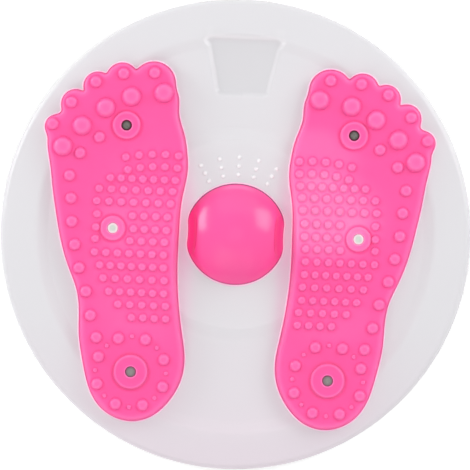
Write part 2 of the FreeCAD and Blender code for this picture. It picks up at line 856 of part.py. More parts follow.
def pad_level(across, along):
    """The level of the pad's top, which rises to the arch at its inner edge."""
    lengthwise = math.exp(-(along / ARCH_LENGTH_SHARE) ** 2)
    sideways = 1 / (1 + math.exp((across - ARCH_EDGE_SHARE) / ARCH_BLEND_SHARE))
    return trough_top + size.pad_rise + size.arch_rise * (lengthwise * sideways)


def pad_point(across, along, level):
    return Vector(float(pad_across(across)), float(pad_along(along)), float(level))


def space_above_pad():
    """The space over the pad's top, bounded below by one smooth surface."""
    grid = []
    for column in range(PATCH_STEPS + 1):
        across = PATCH_WIDTH_SHARE * (2 * column / PATCH_STEPS - 1)
        line = []
        for row in range(PATCH_STEPS + 1):
            along = PATCH_LENGTH_SHARE * (2 * row / PATCH_STEPS - 1)
            line.append(pad_point(across, along, pad_level(across, along)))
        grid.append(line)
    surface = Part.BSplineSurface()
    surface.interpolate(grid)
    return surface.toShape().extrude(Vector(0, 0, float(size.arch_rise + size.pad_rise)))


def nub(across, along, radius):
    """A low dome on the pad's top, rooted a little below it."""
    rise = float(radius) * NUB_RISE_SHARE
    ball = (float(radius) ** 2 / rise + rise) / 2
    top = float(pad_level(across, along)) + rise
    root = rise + float(size.nub_root) - ball
    lowest = -math.degrees(math.asin(root / ball))
    centre = pad_point(across, along, top - ball)
    return Part.makeSphere(ball, centre, Vector(0, 0, 1), lowest, 90, 360)


def pad_nubs():
    for across, along in TOE_NUB_SHARES + OUTER_NUB_SHARES:
        yield nub(across, along, size.middle_nub_radius)
    for across, along in LARGE_NUB_SHARES:
        yield nub(across, along, size.large_nub_radius)
    for along, first, last, count, bow in NUB_ROW_SHARES:
        for index in range(count):
            share = index / (count - 1)
            bend = bow * (share - ROW_CREST_SHARE) ** 2
            yield nub(first + (last - first) * share, along - bend, size.small_nub_radius)
    for across, along in BESIDE_ARCH_SHARES:
        yield nub(across, along, size.small_nub_radius)
    # the heel's ring: middle nubs with beads between them
    steps = 2 * SIZES["heel_ring_count"]
    for index in range(steps):
        turn = 2 * math.pi * index / steps
        radius = size.middle_nub_radius if index % 2 else size.heel_bead_radius
        across = HEEL_BOSS_SHARES[0] + HEEL_RING_SHARE * math.cos(turn)
        along = HEEL_BOSS_SHARES[1] + HEEL_RING_SHARE * math.sin(turn)
        yield nub(across, along, radius)


def ring_boss_top(shares):
    return pad_level(*shares) + size.boss_rise


def make_foot_pad():
    """The right pad: its outline raised from the disc, with nubs, ring bosses and pegs."""
    low = float(trough_top - size.shell_wall / 4)
    height = float(size.pad_rise + size.arch_rise + size.shell_wall)
    edge = Part.BSplineCurve()
    edge.interpolate([pad_point(*shares, low) for shares in PAD_EDGE_SHARES], PeriodicFlag=True)
    block = Part.Face(Part.Wire(edge.toShape())).extrude(Vector(0, 0, height))
    lobes = []
    for across, along, radius in TOE_LOBE_SHARES:
        lobes.append(Part.makeCylinder(radius * float(pad_length), height, pad_point(across, along, low)))
    block = block.fuse(lobes).cut([space_above_pad(), disc_shell.Shape])

    added = list(pad_nubs())
    removed = []
    for _, shares, radius in ring_bosses:
        top = ring_boss_top(shares)
        root = pad_point(*shares, pad_level(*shares) - size.nub_root)
        added.append(Part.makeCylinder(float(radius), float(size.boss_rise + size.nub_root), root))
        depth = size.magnet_height + size.magnet_recess
        hollow = pad_point(*shares, top - depth)
        removed.append(Part.makeCylinder(float(size.magnet_radius + size.magnet_play), float(depth), hollow))
    for x, y in peg_places():
        foot = Vector(float(x), float(y), float(trough_underside + size.peg_shortfall))
        added.append(Part.makeCylinder(float(size.peg_radius), float(size.shell_wall), foot))
        bore_depth = float(size.screw_reach)
        removed.append(Part.makeCylinder(float(size.screw_radius + size.thread_play), bore_depth, foot))
    solid = block.fuse(added).cut(removed)
    right = doc.addObject("Part::Feature", "right_foot_pad")
    right.Shape = solid.Solids[0]
    left = doc.addObject("Part::Mirroring", "left_foot_pad")
    left.Source = right
    left.Normal = Vector(1, 0, 0)
    return right, left


def make_magnets(side, sign):
    for name, shares, _ in ring_bosses:
        level = ring_boss_top(shares) - size.magnet_recess - size.magnet_height
        places = (pad_across(shares[0]) * sign, pad_along(shares[1]), level)
        yield primitive("Part::Cylinder", "%s_%s_magnet" % (side, name), places,
                        Radius=size.magnet_radius, Height=size.magnet_height)


def make_pad_screws(side, sign):
    """Four screws with wide heads, from below the disc into the pegs."""
    screws = []
    for number, (x, y) in enumerate(peg_places(), start=1):
        name = "%s_screw_%d" % (side, number)
        head = primitive("Part::Cylinder", name + "_head",
                         (x * sign, y, trough_underside - size.screw_head_height),
                         Radius=size.screw_head_radius, Height=size.screw_head_height)
        shank = primitive("Part::Cylinder", name + "_shank",
                          (x * sign, y, trough_underside - size.screw_head_height),
                          Radius=size.screw_radius, Height=size.screw_head_height + size.screw_reach)
        screws.append(joined("Part::Fuse", name, head, shank))
    group = doc.addObject("Part::Compound", side + "_pad_screws")
    group.Links = screws
    return group


pieces.extend(make_foot_pad())
for pad_side, pad_sign in (("right", 1), ("left", -1)):
    pieces.extend(make_magnets(pad_side, pad_sign))
    pieces.append(make_pad_screws(pad_side, pad_sign))


# Check every object, then write each piece to a file of its own name

doc.recompute()
for item in doc.Objects:
    if "Invalid" in item.State or "Error" in item.State:
        raise RuntimeError("%s is not sound: %s" % (item.Name, item.State))
os.makedirs("parts", exist_ok=True)
for piece in pieces:
    if piece.Shape.isNull() or not piece.Shape.isValid():
        raise RuntimeError("%s has no valid shape" % piece.Label)
for piece in pieces:
    piece.Shape.exportStep("parts/%s.step" % piece.Label)
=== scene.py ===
import math

import bmesh
import bpy
import numpy as np
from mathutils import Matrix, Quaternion, Vector
from mathutils.geometry import delaunay_2d_cdt


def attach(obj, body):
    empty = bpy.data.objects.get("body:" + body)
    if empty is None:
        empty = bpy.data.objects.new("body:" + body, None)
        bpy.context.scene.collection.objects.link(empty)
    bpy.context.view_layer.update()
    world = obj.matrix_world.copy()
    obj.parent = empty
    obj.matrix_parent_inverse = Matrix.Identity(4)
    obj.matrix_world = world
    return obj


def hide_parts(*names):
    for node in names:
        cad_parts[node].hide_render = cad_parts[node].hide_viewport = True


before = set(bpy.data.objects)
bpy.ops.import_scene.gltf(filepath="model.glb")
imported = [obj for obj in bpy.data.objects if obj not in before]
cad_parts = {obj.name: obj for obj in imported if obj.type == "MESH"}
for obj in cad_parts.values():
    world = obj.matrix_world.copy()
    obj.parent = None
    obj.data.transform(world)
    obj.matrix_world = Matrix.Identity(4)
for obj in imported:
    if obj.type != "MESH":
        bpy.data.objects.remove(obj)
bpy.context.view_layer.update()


# Base plate
# A round plate in grey polypropylene, moulded with ribs on both faces, a boss for the pivot and six
# sockets below. It stays still on the floor, and only its rim shows, in the gap under the disc.

def feed(tree, inputs, sources):
    """Feed inputs from other sockets or with plain values."""
    for socket, source in dict(sources).items():
        if isinstance(source, bpy.types.NodeSocket):
            tree.links.new(source, inputs[socket])
        else:
            inputs[socket].default_value = source


def add_node(tree, kind, sources=(), **settings):
    node = tree.nodes.new(kind)
    for key, value in settings.items():
        setattr(node, key, value)
    feed(tree, node.inputs, sources)
    return node


def output(tree, kind, sources=(), pick=0, **settings):
    return add_node(tree, kind, sources, **settings).outputs[pick]


def maths(tree, operation, *values, clamp=False):
    return output(tree, "ShaderNodeMath", dict(enumerate(values)), operation=operation, use_clamp=clamp)


def noise(tree, place, scale, detail):
    return output(tree, "ShaderNodeTexNoise", {"Vector": place, "Scale": scale, "Detail": detail})


def in_range(tree, value, start=0.0, end=1.0, low=0.0, high=1.0):
    """Where a value lies between start and end, brought to between low and high."""
    sources = {"Value": value, "From Min": start, "From Max": end, "To Min": low, "To Max": high}
    return output(tree, "ShaderNodeMapRange", sources)


def mixed(tree, factor, plain, other):
    sources = {"Factor": factor, "A": plain, "B": other}
    return output(tree, "ShaderNodeMix", sources, "Result", data_type="RGBA")


def stored(tree, name):
    """A number that the mesh keeps at each of its points."""
    return output(tree, "ShaderNodeAttribute", pick="Fac", attribute_name=name)


def new_group(name, kind, inputs, outputs):
    """A node group with sockets of (name, kind); gives it, what it is given and what it makes."""
    group = bpy.data.node_groups.new(name, kind)
    for way, sockets in (("INPUT", inputs), ("OUTPUT", outputs)):
        for label, socket in sockets:
            group.interface.new_socket(label, in_out=way, socket_type="NodeSocket" + socket)
    return group, group.nodes.new("NodeGroupInput").outputs, group.nodes.new("NodeGroupOutput").inputs


SKIN_INPUTS = ("Clouding", "Cloud Size", "Roughness", "Roughness Spread", "Grain Size", "Grain Depth")


def build_moulded_skin():
    """Moulded plastic or rubber: faint clouds in the colour, uneven gloss and the grain of the mould."""
    inputs = [("Colour", "Color"), *((label, "Float") for label in SKIN_INPUTS)]
    outputs = [("Colour", "Color"), ("Roughness", "Float"), ("Normal", "Vector")]
    group, given, made = new_group("moulded_skin", "ShaderNodeTree", inputs, outputs)
    place = output(group, "ShaderNodeTexCoord", pick="Object")
    cloud_scale = maths(group, "DIVIDE", 1.0, given["Cloud Size"])
    swing = maths(group, "SUBTRACT", noise(group, place, cloud_scale, 3.0), 0.5)
    light = maths(group, "MULTIPLY_ADD", swing, given["Clouding"], 1.0)
    tinted = output(group, "ShaderNodeVectorMath", {0: given["Colour"], "Scale": light}, operation="SCALE")
    wear_scale = maths(group, "MULTIPLY", cloud_scale, 5.0)
    uneven = maths(group, "SUBTRACT", noise(group, place, wear_scale, 4.0), 0.5)
    rough = maths(group, "MULTIPLY_ADD", uneven, given["Roughness Spread"], given["Roughness"], clamp=True)
    grain = noise(group, place, maths(group, "DIVIDE", 1.0, given["Grain Size"]), 2.0)
    relief = output(group, "ShaderNodeBump", {"Height": grain, "Distance": given["Grain Depth"]})
    feed(group, made, {"Colour": tinted, "Roughness": rough, "Normal": relief})
    return group


def new_material(name):
    """A material, its node tree and the inputs of its shader."""
    material = bpy.data.materials.new(name)
    material.use_nodes = True
    return material, material.node_tree, material.node_tree.nodes["Principled BSDF"].inputs


def moulded(name, colour, roughness, clouding=0.04, cloud_size=0.03, spread=0.08, grain=0.0008,
            depth=0.00002):
    material, tree, shader = new_material(name)
    values = dict(zip(SKIN_INPUTS, (clouding, cloud_size, roughness, spread, grain, depth)))
    values["Colour"] = (*colour, 1.0)
    skin = add_node(tree, "ShaderNodeGroup", values, node_tree=moulded_skin, name="skin").outputs
    feed(tree, shader, {"Base Color": skin[0], "Roughness": skin[1], "Normal": skin[2]})
    return material


def colour_by_value(material, name, colours):
    """A colour chosen by a stored number, from a row of (number, colour)."""
    tree = material.node_tree
    first, last = colours[0][0], colours[-1][0]
    share = in_range(tree, stored(tree, name), first, last)
    ramp = add_node(tree, "ShaderNodeValToRGB", {"Fac": share})
    stops = ramp.color_ramp.elements
    for number, _ in colours[1:-1]:
        stops.new((number - first) / (last - first))
    for stop, (_, colour) in zip(stops, colours):
        stop.color = (*colour, 1.0)
    return ramp.outputs["Color"]


def paint(material, colour, layers=()):
    """Paint a moulded skin with a colour, then in layers of (name of a stored number, colour)."""
    tree = material.node_tree
    for name, layer in layers:
        colour = mixed(tree, stored(tree, name), colour, (*layer, 1.0))
    feed(tree, tree.nodes["skin"].inputs, {"Colour": colour})


def finish_node(node, material):
    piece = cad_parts[node]
    if not piece.material_slots:
        piece.data.materials.append(material)
    for holder in piece.material_slots:
        holder.material = material


moulded_skin = build_moulded_skin()

base_grey = moulded("base_grey", (0.34, 0.345, 0.355), 0.52, clouding=0.08, grain=0.0006, depth=0.00004)
finish_node("base_plate", base_grey)


# Rubber feet
# Six black rubber discs pressed into the sockets of the base. They stand 3 mm out and grip the floor;
# the rubber is matt, a little dusty, and greyer where it has worn.

foot_rubber = moulded("foot_rubber", (0.028, 0.028, 0.03), 0.78, clouding=0.5, cloud_size=0.006,
                      grain=0.0004, depth=0.00003)
for number in range(1, 7):
    finish_node("rubber_foot_%d" % number, foot_rubber)


# Ball race
# Twelve polished steel balls roll between the grooves of the base and the disc. A flat nylon ring keeps
# them apart, with a thin film of grease that varies its gloss.

def metal(name, colour, roughness, grain=(1500.0, 1500.0, 1500.0), depth=0.000004, spread=0.12,
          mottle_scale=260.0, dullness=0.18, metallic=1.0, edge=None):
    """A metal with fine drawn scratches, a slightly uneven polish and, if given, a colour at its edge that
    paints light and shade there.
    """
    material, tree, shader = new_material(name)
    place = output(tree, "ShaderNodeTexCoord", pick="Object")
    drawn = output(tree, "ShaderNodeMapping", {"Vector": place, "Scale": grain})
    scratches = noise(tree, drawn, 1.0, 4.0)
    tarnish = noise(tree, place, mottle_scale, 3.0)
    gloss = in_range(tree, tarnish, 0.3, 0.7, roughness - spread / 2, roughness + spread / 2)
    dull = tuple(part * (1 - dullness) for part in colour)
    shade = mixed(tree, tarnish, (*colour, 1.0), (*dull, 1.0))
    if edge:
        shade = mixed(tree, stored(tree, "edge"), shade, (*edge, 1.0))
    relief = output(tree, "ShaderNodeBump", {"Height": scratches, "Distance": depth})
    feed(tree, shader, {"Base Color": shade, "Metallic": metallic, "Roughness": gloss, "Normal": relief})
    return material


ball_steel = metal("ball_steel", (0.72, 0.73, 0.75), 0.12, spread=0.06, depth=0.000001)
cage_nylon = moulded("cage_nylon", (0.66, 0.63, 0.55), 0.4, clouding=0.12, cloud_size=0.012)
for number in range(1, 13):
    finish_node("ball_%02d" % number, ball_steel)
finish_node("ball_cage", cage_nylon)


# Turntable
# The white disc, one moulding in glossy polystyrene: a shell with a skirt, two soft ring-shaped steps, a
# hub well, the upper race, stiffening ribs below, a blank tapered recess and a fan of fifteen small domes.

MM = 0.001

# levels of the disc's top, and its edge
plateau = 26.2
trough = 25.0
rim_top = 23.3
disc_edge = 142.5
shell_wall = 2.8

# the groove of the upper race in which the balls roll, as (radius, level) of its centre line
groove_place = (84.0, 16.8)
groove_radius = 4.25

# the recess: half widths and reaches of its two ends, depth, corner rounding, how far its walls slope on
# each side of its outline, and how far the gentler far wall does
recess_inner = (15.2, 84.5)
recess_outer = (22.2, 117.0)
recess_depth = 1.7
recess_corner = 3.0
recess_slope = (-2.4, 1.6)
recess_far_slope = (-1.0, 4.5)

# what lies above these levels is the top face, or the outside as a whole
top_face = 24.0
outside_level = 19.0


def rounded(corners, step=15.0):
    """Points of a line through corners (across, up[, radius]), with arcs where a radius is given."""
    points = []
    count = len(corners)
    for index, corner in enumerate(corners):
        here = Vector(corner[:2])
        if len(corner) == 2:
            points.append(tuple(here))
            continue
        before = (Vector(corners[index - 1][:2]) - here).normalized()
        after = (Vector(corners[(index + 1) % count][:2]) - here).normalized()
        half = before.angle(after) / 2
        radius = corner[2]
        centre = here + (before + after).normalized() * (radius / math.sin(half))
        first = here + before * (radius / math.tan(half)) - centre
        sweep = math.pi - 2 * half
        turn = 1.0 if first.x * after.y - first.y * after.x > 0 else -1.0
        pieces = max(2, math.ceil(math.degrees(sweep) / step))
        for part in range(pieces + 1):
            angle = turn * sweep * part / pieces
            cosine, sine = math.cos(angle), math.sin(angle)
            points.append((centre.x + first.x * cosine - first.y * sine,
                           centre.y + first.x * sine + first.y * cosine))
    return points


def linked(name, data):
    piece = bpy.data.objects.new(name, data)
    bpy.context.collection.objects.link(piece)
    return piece


def mesh_only(piece):
    mesh = piece.data
    bpy.data.objects.remove(piece)
    return mesh


def set_smooth(mesh, smooth):
    for face in mesh.polygons:
        face.use_smooth = smooth


def solid_object(name, places, faces, material, smooth=True):
    """A closed mesh object, its places in millimetres, with all faces turned outwards."""
    mesh = bpy.data.meshes.new(name)
    mesh.from_pydata([tuple(float(part) * MM for part in place) for place in places], [], faces)
    work = bmesh.new()
    work.from_mesh(mesh)
    bmesh.ops.recalc_face_normals(work, faces=work.faces)
    work.to_mesh(mesh)
    work.free()
    set_smooth(mesh, smooth)
    mesh.materials.append(material)
    return linked(name, mesh)


def ring_faces(rings, columns, closed=False):
    """Four-sided faces between rings of points, all the way round."""
    faces = []
    for ring in range(rings if closed else rings - 1):
        low = ring * columns
        high = (ring + 1) % rings * columns
        for column in range(columns):
            beside = (column + 1) % columns
            faces.append((low + column, low + beside, high + beside, high + column))
    return faces


def turned_faces(rings, columns):
    """Faces of a closed turned shape: one pole, its rings of points, then the other pole."""
    faces = [tuple(corner + 1 for corner in face) for face in ring_faces(rings, columns)]
    last = rings * columns + 1
    base = last - columns
    for column in range(columns):
        beside = (column + 1) % columns
        faces.append((0, 1 + beside, 1 + column))
        faces.append((last, base + column, base + beside))
    return faces


def give_value(piece, name, values):
    """Store a number at each point of a mesh, which its material reads by name."""
    store = piece.data.attributes.new(name, "FLOAT", "POINT")
    store.data.foreach_set("value", np.asarray(values, dtype=np.float32))


def turned(name, rows, value_name, material, columns, x=0.0, y=0.0):
    """A closed shape turned round an upright axis: rows of (radius, level, number) from pole to pole."""
    places = [(x, y, rows[0][1])]
    angles = [math.tau * column / columns for column in range(columns)]
    for radius, level, _ in rows[1:-1]:
        places += [(x + radius * math.cos(angle), y + radius * math.sin(angle), level) for angle in angles]
    places.append((x, y, rows[-1][1]))
    piece = solid_object(name, places, turned_faces(len(rows) - 2, columns), material)
    numbers = [row[2] for row in rows]
    give_value(piece, value_name, [numbers[0], *np.repeat(numbers[1:-1], columns), numbers[-1]])
    return piece


def subdivided(points, spacing):
    """Points with more between them, no farther apart than the spacing says."""
    fine = []
    for start, end in zip(points, points[1:] + points[:1]):
        run, climb = end[0] - start[0], end[1] - start[1]
        most = spacing((start[0] + end[0]) / 2, start[1])
        pieces = max(1, math.ceil(math.hypot(run, climb) / most))
        for part in range(pieces):
            share = part / pieces
            fine.append((start[0] + run * share, start[1] + climb * share))
    return fine


def recess_shares(x, y):
    """1 on the recess's floor, 0 outside it and a smooth slope between; then the painted light (above 0) and
    painted shade (below 0) on the slope.
    """
    run = recess_outer[1] - recess_inner[1]
    widening = recess_outer[0] - recess_inner[0]
    middle = (recess_inner[1] + recess_outer[1]) / 2
    side_length = math.hypot(run, widening)
    side = ((np.abs(x) - recess_inner[0]) * run - (y - recess_inner[1]) * widening) / side_length
    side += recess_corner
    end = np.abs(y - middle) - run / 2 + recess_corner
    outside = np.hypot(np.maximum(side, 0), np.maximum(end, 0))
    distance = outside + np.minimum(np.maximum(side, end), 0) - recess_corner
    # the far wall slopes more gently than the others, and over this width it runs into them
    blend = 4.0
    far = np.clip((end - recess_corner + blend) / blend, 0, 1) * (y > middle)
    lowest = recess_slope[0] + far * (recess_far_slope[0] - recess_slope[0])
    highest = recess_slope[1] + far * (recess_far_slope[1] - recess_slope[1])
    share = np.clip((highest - distance) / (highest - lowest), 0, 1)
    share = share * share * (3 - 2 * share)
    # painted light and shade on the walls: the far wall is painted pale, and the others are painted darker,
    # most of all the left one
    painted_wall_shading = 4 * share * (1 - share) * (0.98 * far - 0.45 - 0.3 * (x < 0) * (1 - far))
    return np.stack((share, painted_wall_shading))


def build_turntable(material):
    turns = np.radians(np.arange(156, 20, -12))[:, None]
    groove = groove_place + groove_radius * np.hstack((np.cos(turns), np.sin(turns)))
    wall = disc_edge - shell_wall
    section = rounded([
        (17.2, plateau, 0.8), (17.2, 20, 0.5), (6, 20, 0.3), (6, 16.1, 0.3), (12, 16.1, 0.4),
        (12, 17.4), (19.8, 17.4, 0.6), (19.8, 23.4, 0.6), (57.5, 23.4), (64, 22.2), (78, 22.2),
        (78, 18.5, 0.4), *groove, (90, 18.5, 0.4), (90, 22.2), (114, 22.2), (121, 23.4),
        (wall, 20.5, 2), (wall, 8, 0.6), (disc_edge, 8, 0.9), (disc_edge, rim_top, 4),
        (121, plateau, 9), (114, trough, 9), (64, trough, 9), (57.5, plateau, 9),
    ], step=9.0)
    # rings and columns lie closer together across the recess
    section = subdivided(section, lambda out, level: 0.55 if 83 < out < 119 and level > top_face else 6.0)
    dense = np.arange(76.0, 104.0, 0.28)
    sparse = np.linspace(104.0, 436.0, 184, endpoint=False)
    columns = np.radians(np.concatenate((dense, sparse)))
    radii, levels = np.array(section).T[..., None]
    x = radii * np.cos(columns)
    y = radii * np.sin(columns)
    z = levels + np.zeros_like(x)
    sunk, painted_wall_shading = recess_shares(x, y) * (levels > top_face)
    z += (trough - recess_depth - z) * sunk
    places = np.stack((x, y, z), axis=-1).reshape(-1, 3)
    disc = solid_object("turntable", places, ring_faces(len(section), len(columns), closed=True), material)
    # painted light and shade on the disc: the recess floor is painted darker, as shade, and the disc is
    # painted pinker, as pink light reflected from the pads, between the pads and beside the cap, and a little
    # darker and pinker towards the heels
    outside = levels > outside_level
    between = np.exp(-((np.abs(x) - 31) / 6) ** 2)
    painted_pink_bounce = between * (0.5 * np.interp(y, (-85, -60, 25, 55), (0, 1, 1, 0)) + 0.5 * np.exp(-(y / 26) ** 4))
    towards_heels = np.interp(y, (-135, -95, -50), (0.27, 0.11, 0))
    give_value(disc, "tip", (painted_wall_shading - 0.9 * sunk ** 2 - 0.2 * towards_heels * outside).reshape(-1))
    give_value(disc, "painted_pink_bounce", (np.maximum(painted_pink_bounce, towards_heels) * outside).reshape(-1))
    return disc


def grown(name, shape, tree, values, smooth=False):
    """Run a geometry tree on a shape and give the result as a plain mesh object."""
    holder = linked(name, shape)
    modifier = holder.modifiers.new("grown", "NODES")
    modifier.node_group = tree
    for item in tree.interface.items_tree:
        if item.in_out == "INPUT" and item.name in values:
            modifier[item.identifier] = values[item.name]
    bpy.context.view_layer.update()
    evaluated = holder.evaluated_get(bpy.context.evaluated_depsgraph_get())
    mesh = bpy.data.meshes.new_from_object(evaluated)
    holder.modifiers.remove(modifier)
    holder.data = mesh
    mesh.name = name
    set_smooth(mesh, smooth)
    return holder


GEOMETRY = ("Geometry", "Geometry")
MATERIAL = ("Material", "Material")


def set_out(tree, given, made, sources):
    """End a geometry tree: one shape stands on each point, made real and in its material."""
    standing = output(tree, "GeometryNodeInstanceOnPoints", sources)
    real = output(tree, "GeometryNodeRealizeInstances", {"Geometry": standing})
    finished = output(tree, "GeometryNodeSetMaterial", {"Geometry": real, "Material": given["Material"]})
    feed(tree, made, {"Geometry": finished})
    return tree


def build_spokes_tree():
    """Repeats a shape all round the pivot."""
    inputs = [GEOMETRY, ("Count", "Int"), MATERIAL]
    tree, given, made = new_group("spokes", "GeometryNodeTree", inputs, [GEOMETRY])
    index = output(tree, "GeometryNodeInputIndex")
    turn = maths(tree, "DIVIDE", maths(tree, "MULTIPLY", index, math.tau), given["Count"])
    return set_out(tree, given, made, {
        "Points": output(tree, "GeometryNodePoints", {"Count": given["Count"]}),
        "Instance": given["Geometry"],
        "Rotation": output(tree, "ShaderNodeCombineXYZ", {"Z": turn}),
    })


def build_fan_tree():
    """Sets a shape in curved rows before the cap."""
    sizes = [(label, "Float") for label in ("First Radius", "Row Step", "Fan Angle", "Level")]
    inputs = [GEOMETRY, ("Rows", "Int"), ("Columns", "Int"), *sizes, MATERIAL]
    tree, given, made = new_group("dome_fan", "GeometryNodeTree", inputs, [GEOMETRY])
    columns = given["Columns"]
    points = output(tree, "GeometryNodePoints", {"Count": maths(tree, "MULTIPLY", given["Rows"], columns)})
    index = output(tree, "GeometryNodeInputIndex")
    row = maths(tree, "FLOOR", maths(tree, "DIVIDE", index, columns))
    radius = maths(tree, "ADD", given["First Radius"], maths(tree, "MULTIPLY", row, given["Row Step"]))
    column = maths(tree, "MODULO", index, columns)
    share = maths(tree, "DIVIDE", column, maths(tree, "SUBTRACT", columns, 1.0))
    turn = maths(tree, "MULTIPLY", maths(tree, "SUBTRACT", share, 0.5), given["Fan Angle"])
    place = output(tree, "ShaderNodeCombineXYZ", {
        "X": maths(tree, "MULTIPLY", radius, maths(tree, "SINE", turn)),
        "Y": maths(tree, "MULTIPLY", radius, maths(tree, "COSINE", turn)),
        "Z": given["Level"],
    })
    return set_out(tree, given, made, {
        "Points": output(tree, "GeometryNodeSetPosition", {"Geometry": points, "Position": place}),
        "Instance": given["Geometry"],
    })


def rib_shape(name, outline, thickness=2.0):
    """A flat rib standing along +X: its outline as (out, up) and its thickness."""
    count = len(outline)
    places = [(out, side * thickness / 2, up) for side in (-1, 1) for out, up in outline]
    faces = [tuple(range(count)), tuple(range(2 * count - 1, count - 1, -1)), *ring_faces(2, count)]
    return mesh_only(solid_object(name, places, faces, disc_white, smooth=False))


def joined(name, pieces):
    """One mesh object from several, which are then removed."""
    work = bmesh.new()
    for piece in pieces:
        work.from_mesh(piece.data)
    mesh = bpy.data.meshes.new(name)
    work.to_mesh(mesh)
    work.free()
    mesh.materials.append(pieces[0].data.materials[0])
    for piece in pieces:
        bpy.data.objects.remove(piece)
    return linked(name, mesh)


# colours of the disc by its stored tip: painted shade below 0, its own white at 0 and painted light up to 1
disc_colours = ((-1.0, (0.625, 0.617, 0.64)), (0.0, (0.68, 0.67, 0.695)), (1.0, (0.95, 0.94, 0.96)))
disc_white = moulded("disc_white", disc_colours[1][1], 0.3, clouding=0.02, cloud_size=0.08,
                     spread=0.05, grain=0.004, depth=0.00002)
# the second layer paints pink light reflected from the pads onto the white disc
paint(disc_white, colour_by_value(disc_white, "tip", disc_colours), [("painted_pink_bounce", (0.77, 0.53, 0.67))])

spokes = build_spokes_tree()
ribs = []
for name, outline in (
    ("inner_ribs", ((18.4, 17), (77.4, 17), (77.4, 18.5), (79.4, 18.5), (79.4, 22.5), (64, 22.5),
                    (57.5, 23.7), (18.4, 23.7))),
    ("outer_ribs", ((90.6, 15), (141.1, 15), (141.1, 20.6), (121, 23.7), (114, 22.5), (88.6, 22.5),
                    (88.6, 18.5), (90.6, 18.5))),
):
    ribs.append(grown(name, rib_shape(name, outline), spokes, {"Count": 12, "Material": disc_white}))

# a small dome: shares of its radius and how light its painted highlight makes it there, from its crown to its
# foot; then its underside, sunk in the disc
dome_radius = 1.55
dome_rise = 0.55
DOME_PROFILE = ((0.0, 0.8), (0.25, 0.7), (0.48, 0.5), (0.68, 0.3), (0.84, 0.1), (0.95, 0.0), (1.0, 0.0))
dome_rows = [(dome_radius * share, dome_rise * (1 - share ** 2), tip) for share, tip in DOME_PROFILE]
dome_rows += [(dome_radius, -0.4, 0.0), (0.0, -0.4, 0.0)]
dome = mesh_only(turned("fan_dome", dome_rows, "tip", disc_white, 12))
fan_domes = grown("fan_domes", dome, build_fan_tree(), {
    "Rows": 3, "Columns": 5, "First Radius": 36.0 * MM, "Row Step": 5.3 * MM,
    "Fan Angle": math.radians(58.8), "Level": plateau * MM, "Material": disc_white,
}, smooth=True)
disc = joined("turntable_disc", [build_turntable(disc_white), *ribs, fan_domes])
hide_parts("top_disc")
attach(disc, "turntable")


# Centre pivot
# A zinc-plated M8 hexagon bolt and nut with steel washers hold the disc to the base. It turns in a flanged
# nylon bush, on a nylon thrust washer that lies on the boss.

zinc_steel = metal("zinc_steel", (0.62, 0.63, 0.66), 0.3, grain=(900.0, 900.0, 4000.0))
bush_nylon = moulded("bush_nylon", (0.7, 0.68, 0.6), 0.42, clouding=0.1, cloud_size=0.008)
for node in ("pivot_bolt", "pivot_nut", "head_washer", "nut_washer", "right_pad_screws", "left_pad_screws"):
    finish_node(node, zinc_steel)
for node in ("pivot_bush", "thrust_washer"):
    finish_node(node, bush_nylon)


# Centre cap
# A hollow dome in glossy pink polypropylene with a shallow scoop on each side. It hides the pivot and clips
# into the hub well with a short round spigot.

cap_edge = 30.85
cap_rise = 17.0
cap_ball = (cap_edge * cap_edge / cap_rise + cap_rise) / 2
scoop_ring = 70.0
scoop_tube = 7.0
scoop_centre = (100.4, plateau + 6.88)
scoop_softness = 0.7
# the lip round the foot: how far out and how far up each of its corners lies
CAP_LIP = ((0.1, 0.16), (0.95, 0.12), (1.0, 0.02))
# the underside, the spigot and the hollow in it, as (radius, level), and the level of its innermost point
CAP_INSIDE = ((17, 26.22), (17, 22.7), (16.5, 22.2), (15.2, 22.2), (15.2, 30), (10, 34))
cap_hollow_level = 36.0
edge_ease = 0.35


def soft_max(first, second, width):
    """The larger of two distances, with a rounded change over from one to the other."""
    near = np.maximum(width - np.abs(first - second), 0) / width
    return np.maximum(first, second) + near * near * width / 4


def reached(inside, low, high, shape, rounds):
    """How far rays reach inside a form, found by halving: inside tells whether a reach still is."""
    low = np.full(shape, low)
    high = np.full(shape, high)
    for _ in range(rounds):
        middle = (low + high) / 2
        within = inside(middle)
        low = np.where(within, middle, low)
        high = np.where(within, high, middle)
    return low


def ball_distance(x, y, z):
    """How far a point lies outside the ball whose top is the cap's dome."""
    return np.sqrt(x * x + y * y + (z - plateau - cap_rise + cap_ball) ** 2) - cap_ball


def cap_distance(x, y, z):
    """How far a point lies outside the cap's skin; less than zero inside it."""
    distance = ball_distance(x, y, z)
    for side in (-1, 1):
        ring = np.hypot(x - side * scoop_centre[0], y) - scoop_ring
        tube = np.hypot(ring, z - scoop_centre[1]) - scoop_tube
        distance = soft_max(distance, -tube, scoop_softness)
    return distance


